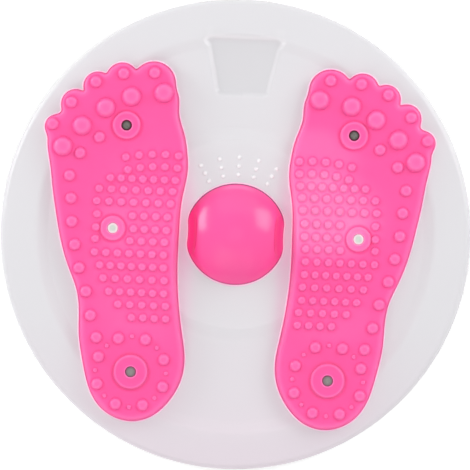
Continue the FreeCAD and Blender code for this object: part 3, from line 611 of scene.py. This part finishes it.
def build_cap(material):
    columns = 360
    turns = np.radians(np.arange(columns))[None, :]
    rises = np.radians(np.linspace(88.5, 0.0, 118))[:, None]

    def on_rays(reach):
        flat = reach * np.cos(rises)
        return flat * np.cos(turns), flat * np.sin(turns), plateau + reach * np.sin(rises)

    shape = (len(rises), columns)
    x, y, z = on_rays(reached(lambda reach: cap_distance(*on_rays(reach)) < 0, 5.0, 40.0, shape, 40))
    # the edge is eased where it meets the disc, then come the lip, the underside and the spigot
    lift = np.clip(edge_ease - (z - plateau), 0, edge_ease) / edge_ease
    shrink = 1 - 0.3 * lift ** 2 / np.hypot(x, y)
    places = [(0.0, 0.0, plateau + cap_rise)]
    places += list(np.stack((x * shrink, y * shrink, z + 0.02), axis=-1).reshape(-1, 3))
    for reach, level in CAP_LIP:
        outward = shrink[-1] + reach / np.hypot(x[-1], y[-1])
        places += list(np.stack((x[-1] * outward, y[-1] * outward, z[-1] + level), axis=-1))
    for radius, level in CAP_INSIDE:
        places += [(radius * math.cos(turn), radius * math.sin(turn), level) for turn in turns[0]]
    places.append((0.0, 0.0, cap_hollow_level))
    rings = len(rises) + len(CAP_LIP) + len(CAP_INSIDE)
    dome = solid_object("cap_dome", places, turned_faces(rings, columns), material)
    # the scoops, the flanks beside them and the lower edge of the dome on each side are painted a deeper
    # pink, as shade, more so on the left, a fine painted line of shade follows the foot of the dome, and a
    # faint painted highlight lies above it at the front
    from_edge = np.hypot(x, y)[-1] - np.hypot(x, y)
    bearing = np.degrees(np.arctan2(y, np.abs(x)))
    scoop = np.clip(-ball_distance(x, y, z) / 0.5, 0, 1)
    flank = np.interp(np.abs(x) - 1.2 * (x > 0), (19.8, 21.8, 23.0, 24.6), (0, 0.2, 0.6, 1))
    flank *= np.interp(bearing, (-55, -42, 34, 46), (0, 1, 1, 0))
    skirt = np.clip((3.4 - from_edge) / 1.8, 0, 1)
    skirt *= np.interp(bearing, (-62, -45, -20, -10), (0, 0.8, 0.8, 0))
    painted_scoop_shade = np.maximum(np.maximum(scoop, flank), skirt) * np.where(x > 0, 0.25, 1.0)
    shade = np.clip((0.95 - from_edge) / 0.4, 0, 1) * (1 - 0.7 * scoop)
    shade *= np.interp(bearing, (-20, 20), (0.6, 1.0))
    gleam = np.exp(-((from_edge - 2.3) / 1.0) ** 2) * np.interp(bearing, (66, 80), (0, 1)) * (y > 0)
    skin_end = 1 + x.size
    for name, values in (("scoop", painted_scoop_shade), ("foot", shade), ("gleam", gleam)):
        give_value(dome, name, np.concatenate(([0.0], values.reshape(-1), np.zeros(len(places) - skin_end))))
    lip = np.zeros(len(places))
    lip[skin_end:skin_end + len(CAP_LIP) * columns] = 1.0
    give_value(dome, "lip", lip)
    return dome


cap_colour = (0.96, 0.09, 0.335)
cap_pink = moulded("cap_pink", cap_colour, 0.24, clouding=0.03, cloud_size=0.02,
                   spread=0.05, grain=0.003, depth=0.000015)
# painted light and shade on the cap: deeper pink shade in the scoops, a dark line of shade at the foot, a
# faint highlight above it, and the lip painted pale as light glowing through its thin edge
paint(cap_pink, (*cap_colour, 1.0), [
    ("scoop", (0.96, 0.047, 0.25)),
    ("foot", (0.26, 0.03, 0.12)),
    ("gleam", (0.97, 0.16, 0.43)),
    ("lip", (0.99, 0.6, 0.79)),
])
cap = build_cap(cap_pink)
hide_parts("centre_cap")
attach(cap, "turntable")


# Foot pads
# Two soft pink moulded pads shaped like soles, mirror images of each other, with five toe lobes, a raised
# arch, round nubs and three ring bosses that hold magnets. Pegs under each pad are screwed from below.

# places on the right pad, as (across, along) from its middle, are thousandths of its length
PAD_EDGE = (
    (-66, -499), (16, -467.5), (48.5, -423.5), (64.5, -379.5), (75.5, -334), (88, -266), (91, -198),
    (100, -143), (124, -84), (150, -7), (166, 66), (178, 130), (189, 203), (198, 270), (180, 323.5),
    (145, 363.5), (90, 400.5), (32, 434), (-41, 448), (-124, 446), (-159, 404.5), (-163.5, 352),
    (-179, 302), (-191, 243), (-194, 202), (-183, 125), (-178, 30), (-178, -70), (-185, -161),
    (-199, -252), (-209, -325), (-200, -383.5), (-168, -442.5), (-124, -483),
)
# the toe lobes, each with its radius
TOE_LOBES = ((-88.5, 434.5, 61.5), (-1, 442.5, 46.5), (64.8, 419, 42), (124, 368, 42), (173, 303, 35))
# middle nubs on the toes and along the outer side, and large ones behind the toes
MIDDLE_NUBS = (
    (-90, 462), (-5, 456), (70, 430), (135, 371), (183, 309), (54, 279), (105, 233), (131, 170),
    (124, 108), (119, 44), (108, -19), (93, -82), (71, -146), (56, -211), (37, -271),
)
LARGE_NUBS = ((-117, 408), (-29, 394), (40, 360), (103, 308), (153, 249))
# rows of small nubs: along, across of the first and the last one, count and bow
NUB_ROWS = (
    (239, -166, -21, 5, 24), (205, -164, -28, 5, 24), (169, -160, 19, 7, 0), (138, -154, 48, 7, 0),
    (104, -150, 53, 7, 0), (67, -143, -47, 4, 0), (31, -142, -51, 4, 0), (-2, -138, -43, 4, 0),
    (-37, -137, 53, 7, 0), (-72, -138, 37, 7, 0), (-107, -142, 26, 6, 0), (-143, -142, 9, 6, 0),
    (-177, -149, -18, 5, 0), (-212, -151, -57, 4, 0),
)
BESIDE_ARCH = ((51, 68), (52, 32), (53, 0))
# the ring bosses, each with its radius in millimetres
BOSSES = {"front": (-19, 315, 8.4), "arch": (6, 31, 7.5), "heel": (-61, -361, 10.3)}

small_nub = 2.5
middle_nub = 3.5
large_nub = 5.75
heel_bead = 1.4
heel_ring = 21.4
pad_unit = 0.22
pad_reach = 73.0
pad_setback = 6.5
pad_rise = 6.5
arch_rise = 7.0
boss_rise = 1.2
boss_bore = 3.3
pad_edge_round = 2.0
pad_trim = 1.0
groove_width = 0.8

# the lip round the foot of each pad, painted pale as light glowing through its thin edge: how far out and how
# far up each of its corners lies, and how light it is, from -2 in the painted shade of the corner under the
# pad and -1 in the painted shade of a groove through 0 on the top and 1 on the painted highlights of the
# nubs to 2 on the lip
PAD_LIP = (
    (1.35, 0.0, 2.0), (1.4, 0.4, 2.0), (1.2, 0.7, 2.0), (0.75, 0.8, 2.0), (0.4, 0.7, 0.6), (0.1, 0.6, -1.7),
)
# the pad's wall is painted dark, as shade
wall_tip = -1.7
# the rounded shoulder of the pad, as its slope in degrees and its lightness, painted shade low on it and a
# painted highlight higher up, then the top beside it, with a thin painted highlight next to the shoulder
PAD_SHOULDER = ((0, -1.7), (18, -1.1), (36, 0.0), (54, 0.6), (72, 0.6), (90, 0.5))
PAD_BORDER = ((2.6, 0.35), (3.2, 0.2), (3.9, 0.0), (4.7, 0.0), (5.6, 0.0))
# a nub of radius 1: radius, height and lightness, from its slightly hollow crown to its foot, and a flat
# underside sunk in the pad; the lightness is a painted highlight on the crown and rim and a touch of painted
# shade at the foot
NUB_PROFILE = (
    (0.0, 0.46, 0.4), (0.28, 0.48, 0.5), (0.5, 0.52, 0.8), (0.68, 0.48, 0.85), (0.84, 0.34, 0.6),
    (0.96, 0.14, 0.2), (1.06, 0.0, -0.2), (1.02, -0.14, 0.0), (0.0, -0.14, 0.0),
)
# the top of a ring boss: out from its rim and from its bore, below its top, and lightness, a painted
# highlight on the rim and round the bore and painted shade at its outer foot and down the bore
BOSS_RIM = (
    (0.05, 0.9, -0.3), (-0.1, 0.35, 0.4), (-0.45, 0.08, 0.8), (-0.95, 0.0, 0.8), (-1.5, 0.1, 0.45),
    (-2.1, 0.26, 0.15),
)
BOSS_BORE = ((1.0, 0.26, 0.2), (0.5, 0.14, 1.1), (0.16, 0.3, 1.4), (0.02, 0.7, 0.5), (0.0, 3.0, -1.0))


def pad_place(across, along):
    return pad_reach + pad_unit * across, pad_unit * along - pad_setback


def nub_places():
    """Places and radii of all nubs of the right pad, in millimetres."""
    for place in MIDDLE_NUBS:
        yield (*pad_place(*place), middle_nub)
    for place in LARGE_NUBS:
        yield (*pad_place(*place), large_nub)
    for along, first, last, count, bow in NUB_ROWS:
        for index in range(count):
            share = index / (count - 1)
            yield (*pad_place(first + (last - first) * share, along - bow * (share - 0.3) ** 2), small_nub)
    for place in BESIDE_ARCH:
        yield (*pad_place(*place), small_nub)
    heel_x, heel_y = pad_place(*BOSSES["heel"][:2])
    for index in range(16):
        turn = math.tau * index / 16
        radius = middle_nub if index % 2 else heel_bead
        yield heel_x + heel_ring * math.cos(turn), heel_y + heel_ring * math.sin(turn), radius


nub_spots = np.array(list(nub_places()))
boss_spots = {name: (*pad_place(*place), radius) for name, (*place, radius) in BOSSES.items()}
nub_grooves = [(x, y, 1.12 * radius) for x, y, radius in nub_spots]
boss_grooves = [(x, y, radius + 0.5) for x, y, radius in boss_spots.values()]


def groove_depth(x, y, circles):
    """1 in the soft grooves that follow circles of (x, y, radius), and 0 away from them."""
    depth = np.zeros(np.broadcast(x, y).shape)
    for circle_x, circle_y, radius in circles:
        beyond = np.hypot(x - circle_x, y - circle_y) - radius
        depth = np.maximum(depth, np.exp(-(beyond / groove_width) ** 2))
    return depth


def pad_shares(x, y):
    """The place on the right pad, in thousandths of its length, of a point in millimetres."""
    return (x - pad_reach) / pad_unit, (y + pad_setback) / pad_unit


def arch_share(x, y):
    """1 where the arch is highest, and 0 away from it."""
    across, along = pad_shares(x, y)
    return np.exp(-(along / 200) ** 2) / (1 + np.exp((across + 130) / 35))


def pad_level(x, y, inset=99.0):
    """The level of the pad's top, with the arch falling off towards the pad's edge."""
    share = np.clip((inset + 1.6) / 4.6, 0, 1)
    level = trough + pad_rise + arch_rise * arch_share(x, y) * share * share * (3 - 2 * share)
    return level - 0.12 * groove_depth(x, y, nub_grooves) - 0.45 * groove_depth(x, y, boss_grooves)


def boss_top(x, y):
    return trough + pad_rise + arch_rise * arch_share(x, y) + boss_rise


def shaded_broadly(pad, side, areas):
    """Paint a broad sheen on a pad over soft-edged ovals of (across, along, two reaches, strength), darker
    where the strength is below zero.
    """
    x, y, _ = np.array([vertex.co for vertex in pad.data.vertices]).T / MM
    across, along = pad_shares(x * side, y)
    kept_tips = pad.data.attributes["tip"].data
    tips = np.array([point.value for point in kept_tips])
    added = np.zeros(len(x))
    for oval_across, oval_along, width, length, strength in areas:
        spread = ((across - oval_across) / width) ** 2 + ((along - oval_along) / length) ** 2
        added += strength * np.exp(-spread ** 3)
    share = np.where(tips > 1.6, 0, 1 - 0.75 * np.clip(tips, 0, 1))
    kept_tips.foreach_set("value", (tips + added * share).astype(np.float32))


def closed_spline(points, parts):
    """A smooth closed curve through points, as points between them."""
    knots = np.array(points)
    following = np.roll(knots, -1, axis=0)
    steps = np.linalg.norm(following - knots, axis=1)
    before, after = np.roll(steps, 1)[:, None], steps[:, None]
    same = np.eye(len(knots))
    matrix = 2 * (before + after) * same
    matrix += before * np.roll(same, -1, axis=1) + after * np.roll(same, 1, axis=1)
    slope = (following - knots) / after
    bends = np.linalg.solve(matrix, 6 * (slope - np.roll(slope, 1, axis=0)))
    step = steps[:, None, None]
    t = step * np.arange(parts)[:, None] / parts
    rest = step - t
    here, there, bend, turn = (row[:, None] for row in (knots, following, bends, np.roll(bends, -1, axis=0)))
    curve = bend * rest ** 3 / (6 * step) + turn * t ** 3 / (6 * step)
    curve = curve + (here / step - bend * step / 6) * rest + (there / step - turn * step / 6) * t
    return curve.reshape(-1, 2)


def outline_distance(points, outline):
    """Distance from points to a closed outline, less than zero inside."""
    start = outline[None]
    edge = np.roll(outline, -1, axis=0)[None] - start
    offset = points[:, None] - start
    along = np.clip((offset * edge).sum(-1) / (edge * edge).sum(-1), 0, 1)
    nearest = np.sqrt(((offset - edge * along[..., None]) ** 2).sum(-1)).min(1)
    end = start + edge
    crosses = (offset[..., 1] < 0) != (end[..., 1] > points[:, None, 1])
    climb = np.where(edge[..., 1] == 0, 1e-12, edge[..., 1])
    level = start[..., 0] + offset[..., 1] / climb * edge[..., 0]
    inside = (crosses & (points[:, None, 0] < level)).sum(1) % 2 == 1
    return np.where(inside, -nearest, nearest)


def build_pad_edge(spacing):
    """The outline of the pad seen from above: the sole joined to its toe lobes, with soft valleys."""
    sole = closed_spline([pad_place(*place) for place in PAD_EDGE], 14)
    lobes = [(*pad_place(*place), radius * pad_unit) for *place, radius in TOE_LOBES]
    centre = np.array(pad_place(-20, 30))
    turns = np.radians(np.arange(0, 360, 0.25))
    rays = np.stack((np.cos(turns), np.sin(turns)), axis=1)

    def inside(reach):
        points = centre + rays * reach[:, None]
        distance = outline_distance(points, sole)
        for x, y, radius in lobes:
            lobe = np.hypot(points[:, 0] - x, points[:, 1] - y) - radius
            distance = -soft_max(-distance, -lobe, 3.0)
        return distance < -pad_trim

    edge = centre + rays * reached(inside, 5.0, 135.0, len(turns), 18)[:, None]
    gaps = np.linalg.norm(np.roll(edge, -1, axis=0) - edge, axis=1)
    travelled = np.concatenate(([0.0], np.cumsum(gaps)))
    count = int(round(travelled[-1] / spacing))
    wanted = np.arange(count) * travelled[-1] / count
    closed = np.vstack((edge, edge[:1]))
    return np.column_stack([np.interp(wanted, travelled, closed[:, axis]) for axis in (0, 1)])


def disc_surface(radius):
    """The level of the disc's top under the pads."""
    return np.interp(radius, [17, 57.5, 64, 114, 121, 138.5, 142], [26.2, 26.2, 25.0, 25.0, 26.2, 23.8, 21.5])


def pad_rings(edge):
    """Rings of points from the lip over the wall and the shoulder to the top, with their lightness."""
    ahead = np.roll(edge, -2, axis=0) - np.roll(edge, 2, axis=0)
    inward = np.stack((-ahead[:, 1], ahead[:, 0]), axis=1)
    inward /= np.linalg.norm(inward, axis=1)[:, None]
    foot = disc_surface(np.hypot(edge[:, 0], edge[:, 1])) - 0.2
    rings = [(np.column_stack((edge - inward * reach, foot + level)), tip) for reach, level, tip in PAD_LIP]
    rings.append((np.column_stack((edge, (foot + trough + pad_rise - pad_edge_round) / 2)), wall_tip))
    inner = [(pad_edge_round * (1 - math.cos(math.radians(angle))),
              pad_edge_round * (1 - math.sin(math.radians(angle))), tip) for angle, tip in PAD_SHOULDER]
    inner += [(inset, 0.0, tip) for inset, tip in PAD_BORDER]
    for inset, below, tip in inner:
        ring = edge + inward * inset
        rings.append((np.column_stack((ring, pad_level(ring[:, 0], ring[:, 1], inset) - below)), tip))
    return rings


def pad_net(border):
    """Points inside a border, closer together round the bosses and the nubs."""
    spacing = 2.0
    net = []
    low, high = border.min(0), border.max(0)
    for row, y in enumerate(np.arange(low[1], high[1], spacing * 0.866)):
        net += [(x, y) for x in np.arange(low[0] + (row % 2) * spacing / 2, high[0], spacing)]
    net = np.array(net)
    circles = [(*spot, (-4.0, -0.8, -0.1, 0.4, 0.9, 1.4, 2.1), 72) for spot in boss_spots.values()]
    circles += [(x, y, radius, (0.0, 0.12 * radius, 0.12 * radius + 0.5, 0.12 * radius + 1.1), 18)
                for x, y, radius in nub_spots]
    for x, y, radius, steps, _ in circles:
        net = net[np.hypot(net[:, 0] - x, net[:, 1] - y) > radius + steps[-1] + 0.7]
    for x, y, radius, steps, parts in circles:
        turns = np.arange(parts) * math.tau / parts
        for step in steps:
            ring = np.column_stack((x + (radius + step) * np.cos(turns), y + (radius + step) * np.sin(turns)))
            apart = np.hypot(ring[:, None, 0] - net[None, :, 0], ring[:, None, 1] - net[None, :, 1]).min(1)
            net = np.vstack((net, ring[apart > 0.35]))
    return net[outline_distance(net, border[::3]) < -0.5]


def build_pad_shell(material):
    edge = build_pad_edge(0.8)
    count = len(edge)
    rings = pad_rings(edge)
    places = [place for ring, _ in rings for place in ring]
    lightness = list(np.repeat([tip for _, tip in rings], count))
    faces = ring_faces(len(rings), count)
    # the top inside the rings
    border = rings[-1][0][:, :2]
    flat = [Vector(point) for point in np.vstack((border, pad_net(border)))]
    border_edges = [(index, (index + 1) % count) for index in range(count)]
    drawn, _, triangles, origins, _, _ = delaunay_2d_cdt(flat, border_edges, [], 1, 1e-6)
    numbers = []
    first = (len(rings) - 1) * count
    for point, sources in zip(drawn, origins):
        if sources and sources[0] < count:
            numbers.append(first + sources[0])
        else:
            numbers.append(len(places))
            places.append((point.x, point.y, 0.0))
            lightness.append(0.0)
    faces += [tuple(numbers[corner] for corner in triangle) for triangle in triangles]
    # the underside
    faces.append(tuple(range(count - 1, -1, -1)))
    places = np.array(places)
    x, y = places[:, 0], places[:, 1]
    inner = len(rings) * count
    places[inner:, 2] = pad_level(x[inner:], y[inner:])
    pad = solid_object("pad_shell", places, faces, material)
    # the grooves round the nubs and the bosses are painted darker, as shade
    groove = np.maximum(0.75 * groove_depth(x, y, nub_grooves), groove_depth(x, y, boss_grooves))
    groove[:len(PAD_LIP) * count] = 0
    give_value(pad, "tip", np.array(lightness) * (1 - groove) - groove)
    return pad


def build_bosses(material):
    """The three ring bosses, each with a rounded rim and a pocket for its magnet."""
    for name, (x, y, radius) in boss_spots.items():
        top = boss_top(x, y)
        low = top - boss_rise - 1.5
        # the foot of the boss is painted dark, as shade
        rows = [(0.0, low, 0.0), (radius + 0.15, low, -1.0)]
        rows += [(radius + beyond, top - below, tip) for beyond, below, tip in BOSS_RIM]
        rows += [(boss_bore + beyond, top - below, tip) for beyond, below, tip in BOSS_BORE]
        rows.append((0.0, rows[-1][1], 0.0))
        yield turned("boss_" + name, rows, "tip", material, 64, x, y)


def build_nub_tree():
    """Drops each point onto the pad, and stands a nub there, square to the surface."""
    inputs = [GEOMETRY, ("Pad", "Object"), ("Nub", "Object"), MATERIAL]
    tree, given, made = new_group("nubs", "GeometryNodeTree", inputs, [GEOMETRY])
    drop = add_node(tree, "GeometryNodeRaycast", {
        "Target Geometry": output(tree, "GeometryNodeObjectInfo", {"Object": given["Pad"]}, "Geometry"),
        "Ray Direction": (0.0, 0.0, -1.0),
        "Ray Length": 0.2,
    }).outputs
    upright = output(tree, "FunctionNodeAlignRotationToVector", {"Vector": drop["Hit Normal"]}, axis="Z")
    sources = {"Geometry": given["Geometry"], "Name": "upright", "Value": upright}
    kept = output(tree, "GeometryNodeStoreNamedAttribute", sources, data_type="QUATERNION", domain="POINT")
    landed = {"Geometry": kept, "Position": drop["Hit Position"]}
    attribute = "GeometryNodeInputNamedAttribute"
    return set_out(tree, given, made, {
        "Points": output(tree, "GeometryNodeSetPosition", landed),
        "Instance": output(tree, "GeometryNodeObjectInfo", {"Object": given["Nub"]}, "Geometry"),
        "Rotation": output(tree, attribute, {"Name": "upright"}, data_type="QUATERNION"),
        "Scale": output(tree, attribute, {"Name": "size"}, data_type="FLOAT"),
    })


def build_nubs(pad_shell, material):
    nub = turned("one_nub", NUB_PROFILE, "tip", material, 18)
    mesh = bpy.data.meshes.new("nub_spots")
    mesh.from_pydata([(x * MM, y * MM, 0.1) for x, y, _ in nub_spots], [], [])
    sizes = mesh.attributes.new("size", "FLOAT", "POINT")
    sizes.data.foreach_set("value", nub_spots[:, 2].astype(np.float32))
    values = {"Pad": pad_shell, "Nub": nub, "Material": material}
    nubs = grown("pad_nubs", mesh, build_nub_tree(), values, smooth=True)
    bpy.data.objects.remove(nub)
    return nubs


def mirrored(name, piece):
    """A copy of a piece mirrored across the middle, with its faces turned outwards again."""
    mesh = piece.data.copy()
    mesh.name = name
    for vertex in mesh.vertices:
        vertex.co.x = -vertex.co.x
    mesh.flip_normals()
    return linked(name, mesh)


# colours of the pads by the stored tip: painted shade below 0, their own pink at 0, painted highlights above
# 0 and the painted pale glow of the lip at 2
pad_colours = (
    (-2.0, (0.6, 0.15, 0.31)), (-1.0, (0.93, 0.075, 0.3)), (0.0, (0.955, 0.095, 0.35)),
    (1.0, (0.975, 0.17, 0.45)), (1.5, (0.98, 0.25, 0.52)), (2.0, (1.0, 0.64, 0.81)),
)
pad_pink = moulded("pad_pink", pad_colours[1][1], 0.4, clouding=0.05, cloud_size=0.02,
                   spread=0.1, grain=0.0009, depth=0.00003)
paint(pad_pink, colour_by_value(pad_pink, "tip", pad_colours))
feed(pad_pink.node_tree, pad_pink.node_tree.nodes["Principled BSDF"].inputs, {
    "Subsurface Weight": 0.15,
    "Subsurface Radius": (1.0, 0.25, 0.35),
    "Subsurface Scale": 0.0015,
})

shell = build_pad_shell(pad_pink)
nubs = build_nubs(shell, pad_pink)
right_pad = joined("right_pad", [shell, nubs, *build_bosses(pad_pink)])
left_pad = mirrored("left_pad", right_pad)
# a broad painted sheen lies on the arch, on the right pad most of all, and the pink is deeper round the heel
# and front bosses
round_bosses = ((*BOSSES["heel"][:2], 90, 90, -0.35), (*BOSSES["front"][:2], 60, 60, -0.15))
shaded_broadly(right_pad, 1, (
    (-90, 90, 150, 120, 1.3), (-130, 250, 130, 80, 0.6), (-200, -100, 35, 130, 0.6),
    (-50, -200, 120, 60, 0.2), *round_bosses,
))
shaded_broadly(left_pad, -1, (
    (-70, 60, 120, 100, 0.25), (-80, -20, 150, 280, 0.3), (-200, 0, 35, 200, 0.25), *round_bosses,
))
for pad, node in ((right_pad, "right_foot_pad"), (left_pad, "left_foot_pad")):
    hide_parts(node)
    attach(pad, "turntable")


# Magnets
# Six small disc magnets, nickel plated with a broken edge, pressed into the ring bosses. Their one nickel is
# painted in light and shade: the front ones dull and dark as in shade, those of the arch bright as in light,
# and those of the heel grey, between the two.

magnet_radius = 3.2
magnet_height = 2.6
# each kind: its name, colour, roughness, how deep it lies below the top of its boss, and its mottling, with
# the colour painted at its edge; the colours are one nickel painted in shade, in light and in half shade
magnet_kinds = {
    "front": ("nickel_painted_in_shade", (0.52, 0.5, 0.46), 0.42, 0.9,
              {"mottle_scale": 900.0, "dullness": 0.6, "edge": (0.1, 0.03, 0.05)}),
    "arch": ("nickel_painted_in_light", (0.72, 0.76, 0.7), 0.5, 0.35,
             {"mottle_scale": 700.0, "dullness": 0.1, "metallic": 0.3, "edge": (0.98, 0.8, 0.86)}),
    "heel": ("nickel_painted_half_shaded", (0.64, 0.6, 0.58), 0.45, 0.6,
             {"mottle_scale": 800.0, "dullness": 0.35, "edge": (0.4, 0.28, 0.33)}),
}
for place, (x, y, _) in boss_spots.items():
    kind, colour, roughness, magnet_recess, mottling = magnet_kinds[place]
    magnet_metal = metal(kind, colour, roughness, **mottling)
    top = boss_top(x, y) - magnet_recess
    low = top - magnet_height
    outline = rounded([
        (0.0, top), (0.45 * magnet_radius, top), (0.6 * magnet_radius, top),
        (magnet_radius, top, 0.6), (magnet_radius, low, 0.3), (0.0, low),
    ])
    # towards its broken edge the plate is painted darker, as shade, on the front and heel magnets, and paler,
    # as pink reflected light, on the arch magnets
    rows = [(out, level, np.clip((out / magnet_radius - 0.45) / 0.45, 0, 1)) for out, level in outline]
    for side in (1, -1):
        name = "%s_%s" % ("right" if side > 0 else "left", place)
        magnet = turned("magnet_" + name, rows, "edge", magnet_metal, 36, side * x, y)
        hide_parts(name + "_magnet")
        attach(magnet, "turntable")


# Floor and backdrop
# A pale floor under the feet, which keeps the object's shadow and turns pure white farther out, where only
# the camera sees it.

floor_mesh = bpy.data.meshes.new("floor")
floor_mesh.from_pydata([(-3, -3, 0), (3, -3, 0), (3, 3, 0), (-3, 3, 0)], [], [(0, 1, 2, 3)])
floor = linked("floor", floor_mesh)
floor_paint, tree, floor_shader = new_material("floor_paint")
rays = add_node(tree, "ShaderNodeLightPath").outputs
place = output(tree, "ShaderNodeTexCoord", pick="Object")
away = output(tree, "ShaderNodeVectorMath", {0: place}, "Value", operation="LENGTH")
whiteness = in_range(tree, away, start=0.25, end=0.9, low=0.3)
seen = maths(tree, "MULTIPLY", rays["Is Camera Ray"], whiteness)
for kind in ("Is Glossy Ray", "Is Transmission Ray"):
    seen = maths(tree, "MAXIMUM", seen, maths(tree, "MULTIPLY", rays[kind], 0.3))
feed(tree, floor_shader, {
    "Base Color": (0.9, 0.9, 0.9, 1.0),
    "Roughness": 0.9,
    "Specular IOR Level": 0.1,
    "Emission Color": (1.0, 1.0, 1.0, 1.0),
    "Emission Strength": seen,
})
floor_mesh.materials.append(floor_paint)

world = bpy.data.worlds.new("studio")
bpy.context.scene.world = world
world.use_nodes = True
tree = world.node_tree
rays = add_node(tree, "ShaderNodeLightPath").outputs
direct = maths(tree, "MAXIMUM", rays["Is Camera Ray"], rays["Is Transmission Ray"])
feed(tree, tree.nodes["Background"].inputs, {
    "Color": (1.0, 1.0, 1.0, 1.0),
    "Strength": in_range(tree, direct, low=0.45),
})


# Lamps
# A low slanting strip on the left and a broad soft box on the right give the dome its two highlights, and
# two large dim boxes beyond the toes and the heels give it a faint sheen. The last two only fill the shade.

def soft_box(name, place, size, power, tilt=0.0, glossy=True):
    lamp = bpy.data.lights.new(name, "AREA")
    lamp.shape = "RECTANGLE"
    lamp.size, lamp.size_y = size
    lamp.energy = power
    holder = linked(name, lamp)
    holder.location = place
    turn = Vector(place).to_track_quat("Z", "Y") @ Quaternion((0.0, 0.0, 1.0), math.radians(tilt))
    holder.rotation_euler = turn.to_euler()
    holder.visible_glossy = glossy


soft_box("strip_left", (-1.06, 0.44, 0.3), (0.8, 0.32), 5.3, tilt=37.0)
soft_box("box_right", (0.94, 0.58, 0.56), (0.75, 0.6), 5.6, tilt=-37.0)
soft_box("box_toes", (0.0, 1.75, 0.95), (2.6, 1.5), 6.6)
soft_box("box_heels", (0.0, -1.6, 1.3), (2.6, 1.8), 5.8)
soft_box("box_below", (-0.5, -0.9, 0.9), (0.8, 0.8), 3.0, glossy=False)
soft_box("box_above", (0.0, -0.1, 3.6), (1.6, 1.6), 36.3, glossy=False)


# Camera
# Straight above the pivot, turned a little, so that the disc fills the picture from edge to edge.

picture_pixels = 470
disc_pixels = 469.8
widest_level = 0.0193
camera_height = 3.0
camera = bpy.data.cameras.new("camera")
camera.sensor_width = 36.0
view_width = 2 * disc_edge * MM * picture_pixels / disc_pixels
camera.lens = camera.sensor_width * (camera_height - widest_level) / view_width
camera.clip_end = 20.0
camera.shift_x = -0.6 / picture_pixels
camera.shift_y = -0.7 / picture_pixels
camera_holder = linked("camera", camera)
camera_holder.location = (0.0, 0.0, camera_height)
camera_holder.rotation_euler = (0.0, 0.0, math.radians(2.65))
bpy.context.scene.camera = camera_holder
bpy.context.scene.view_settings.view_transform = "Standard"
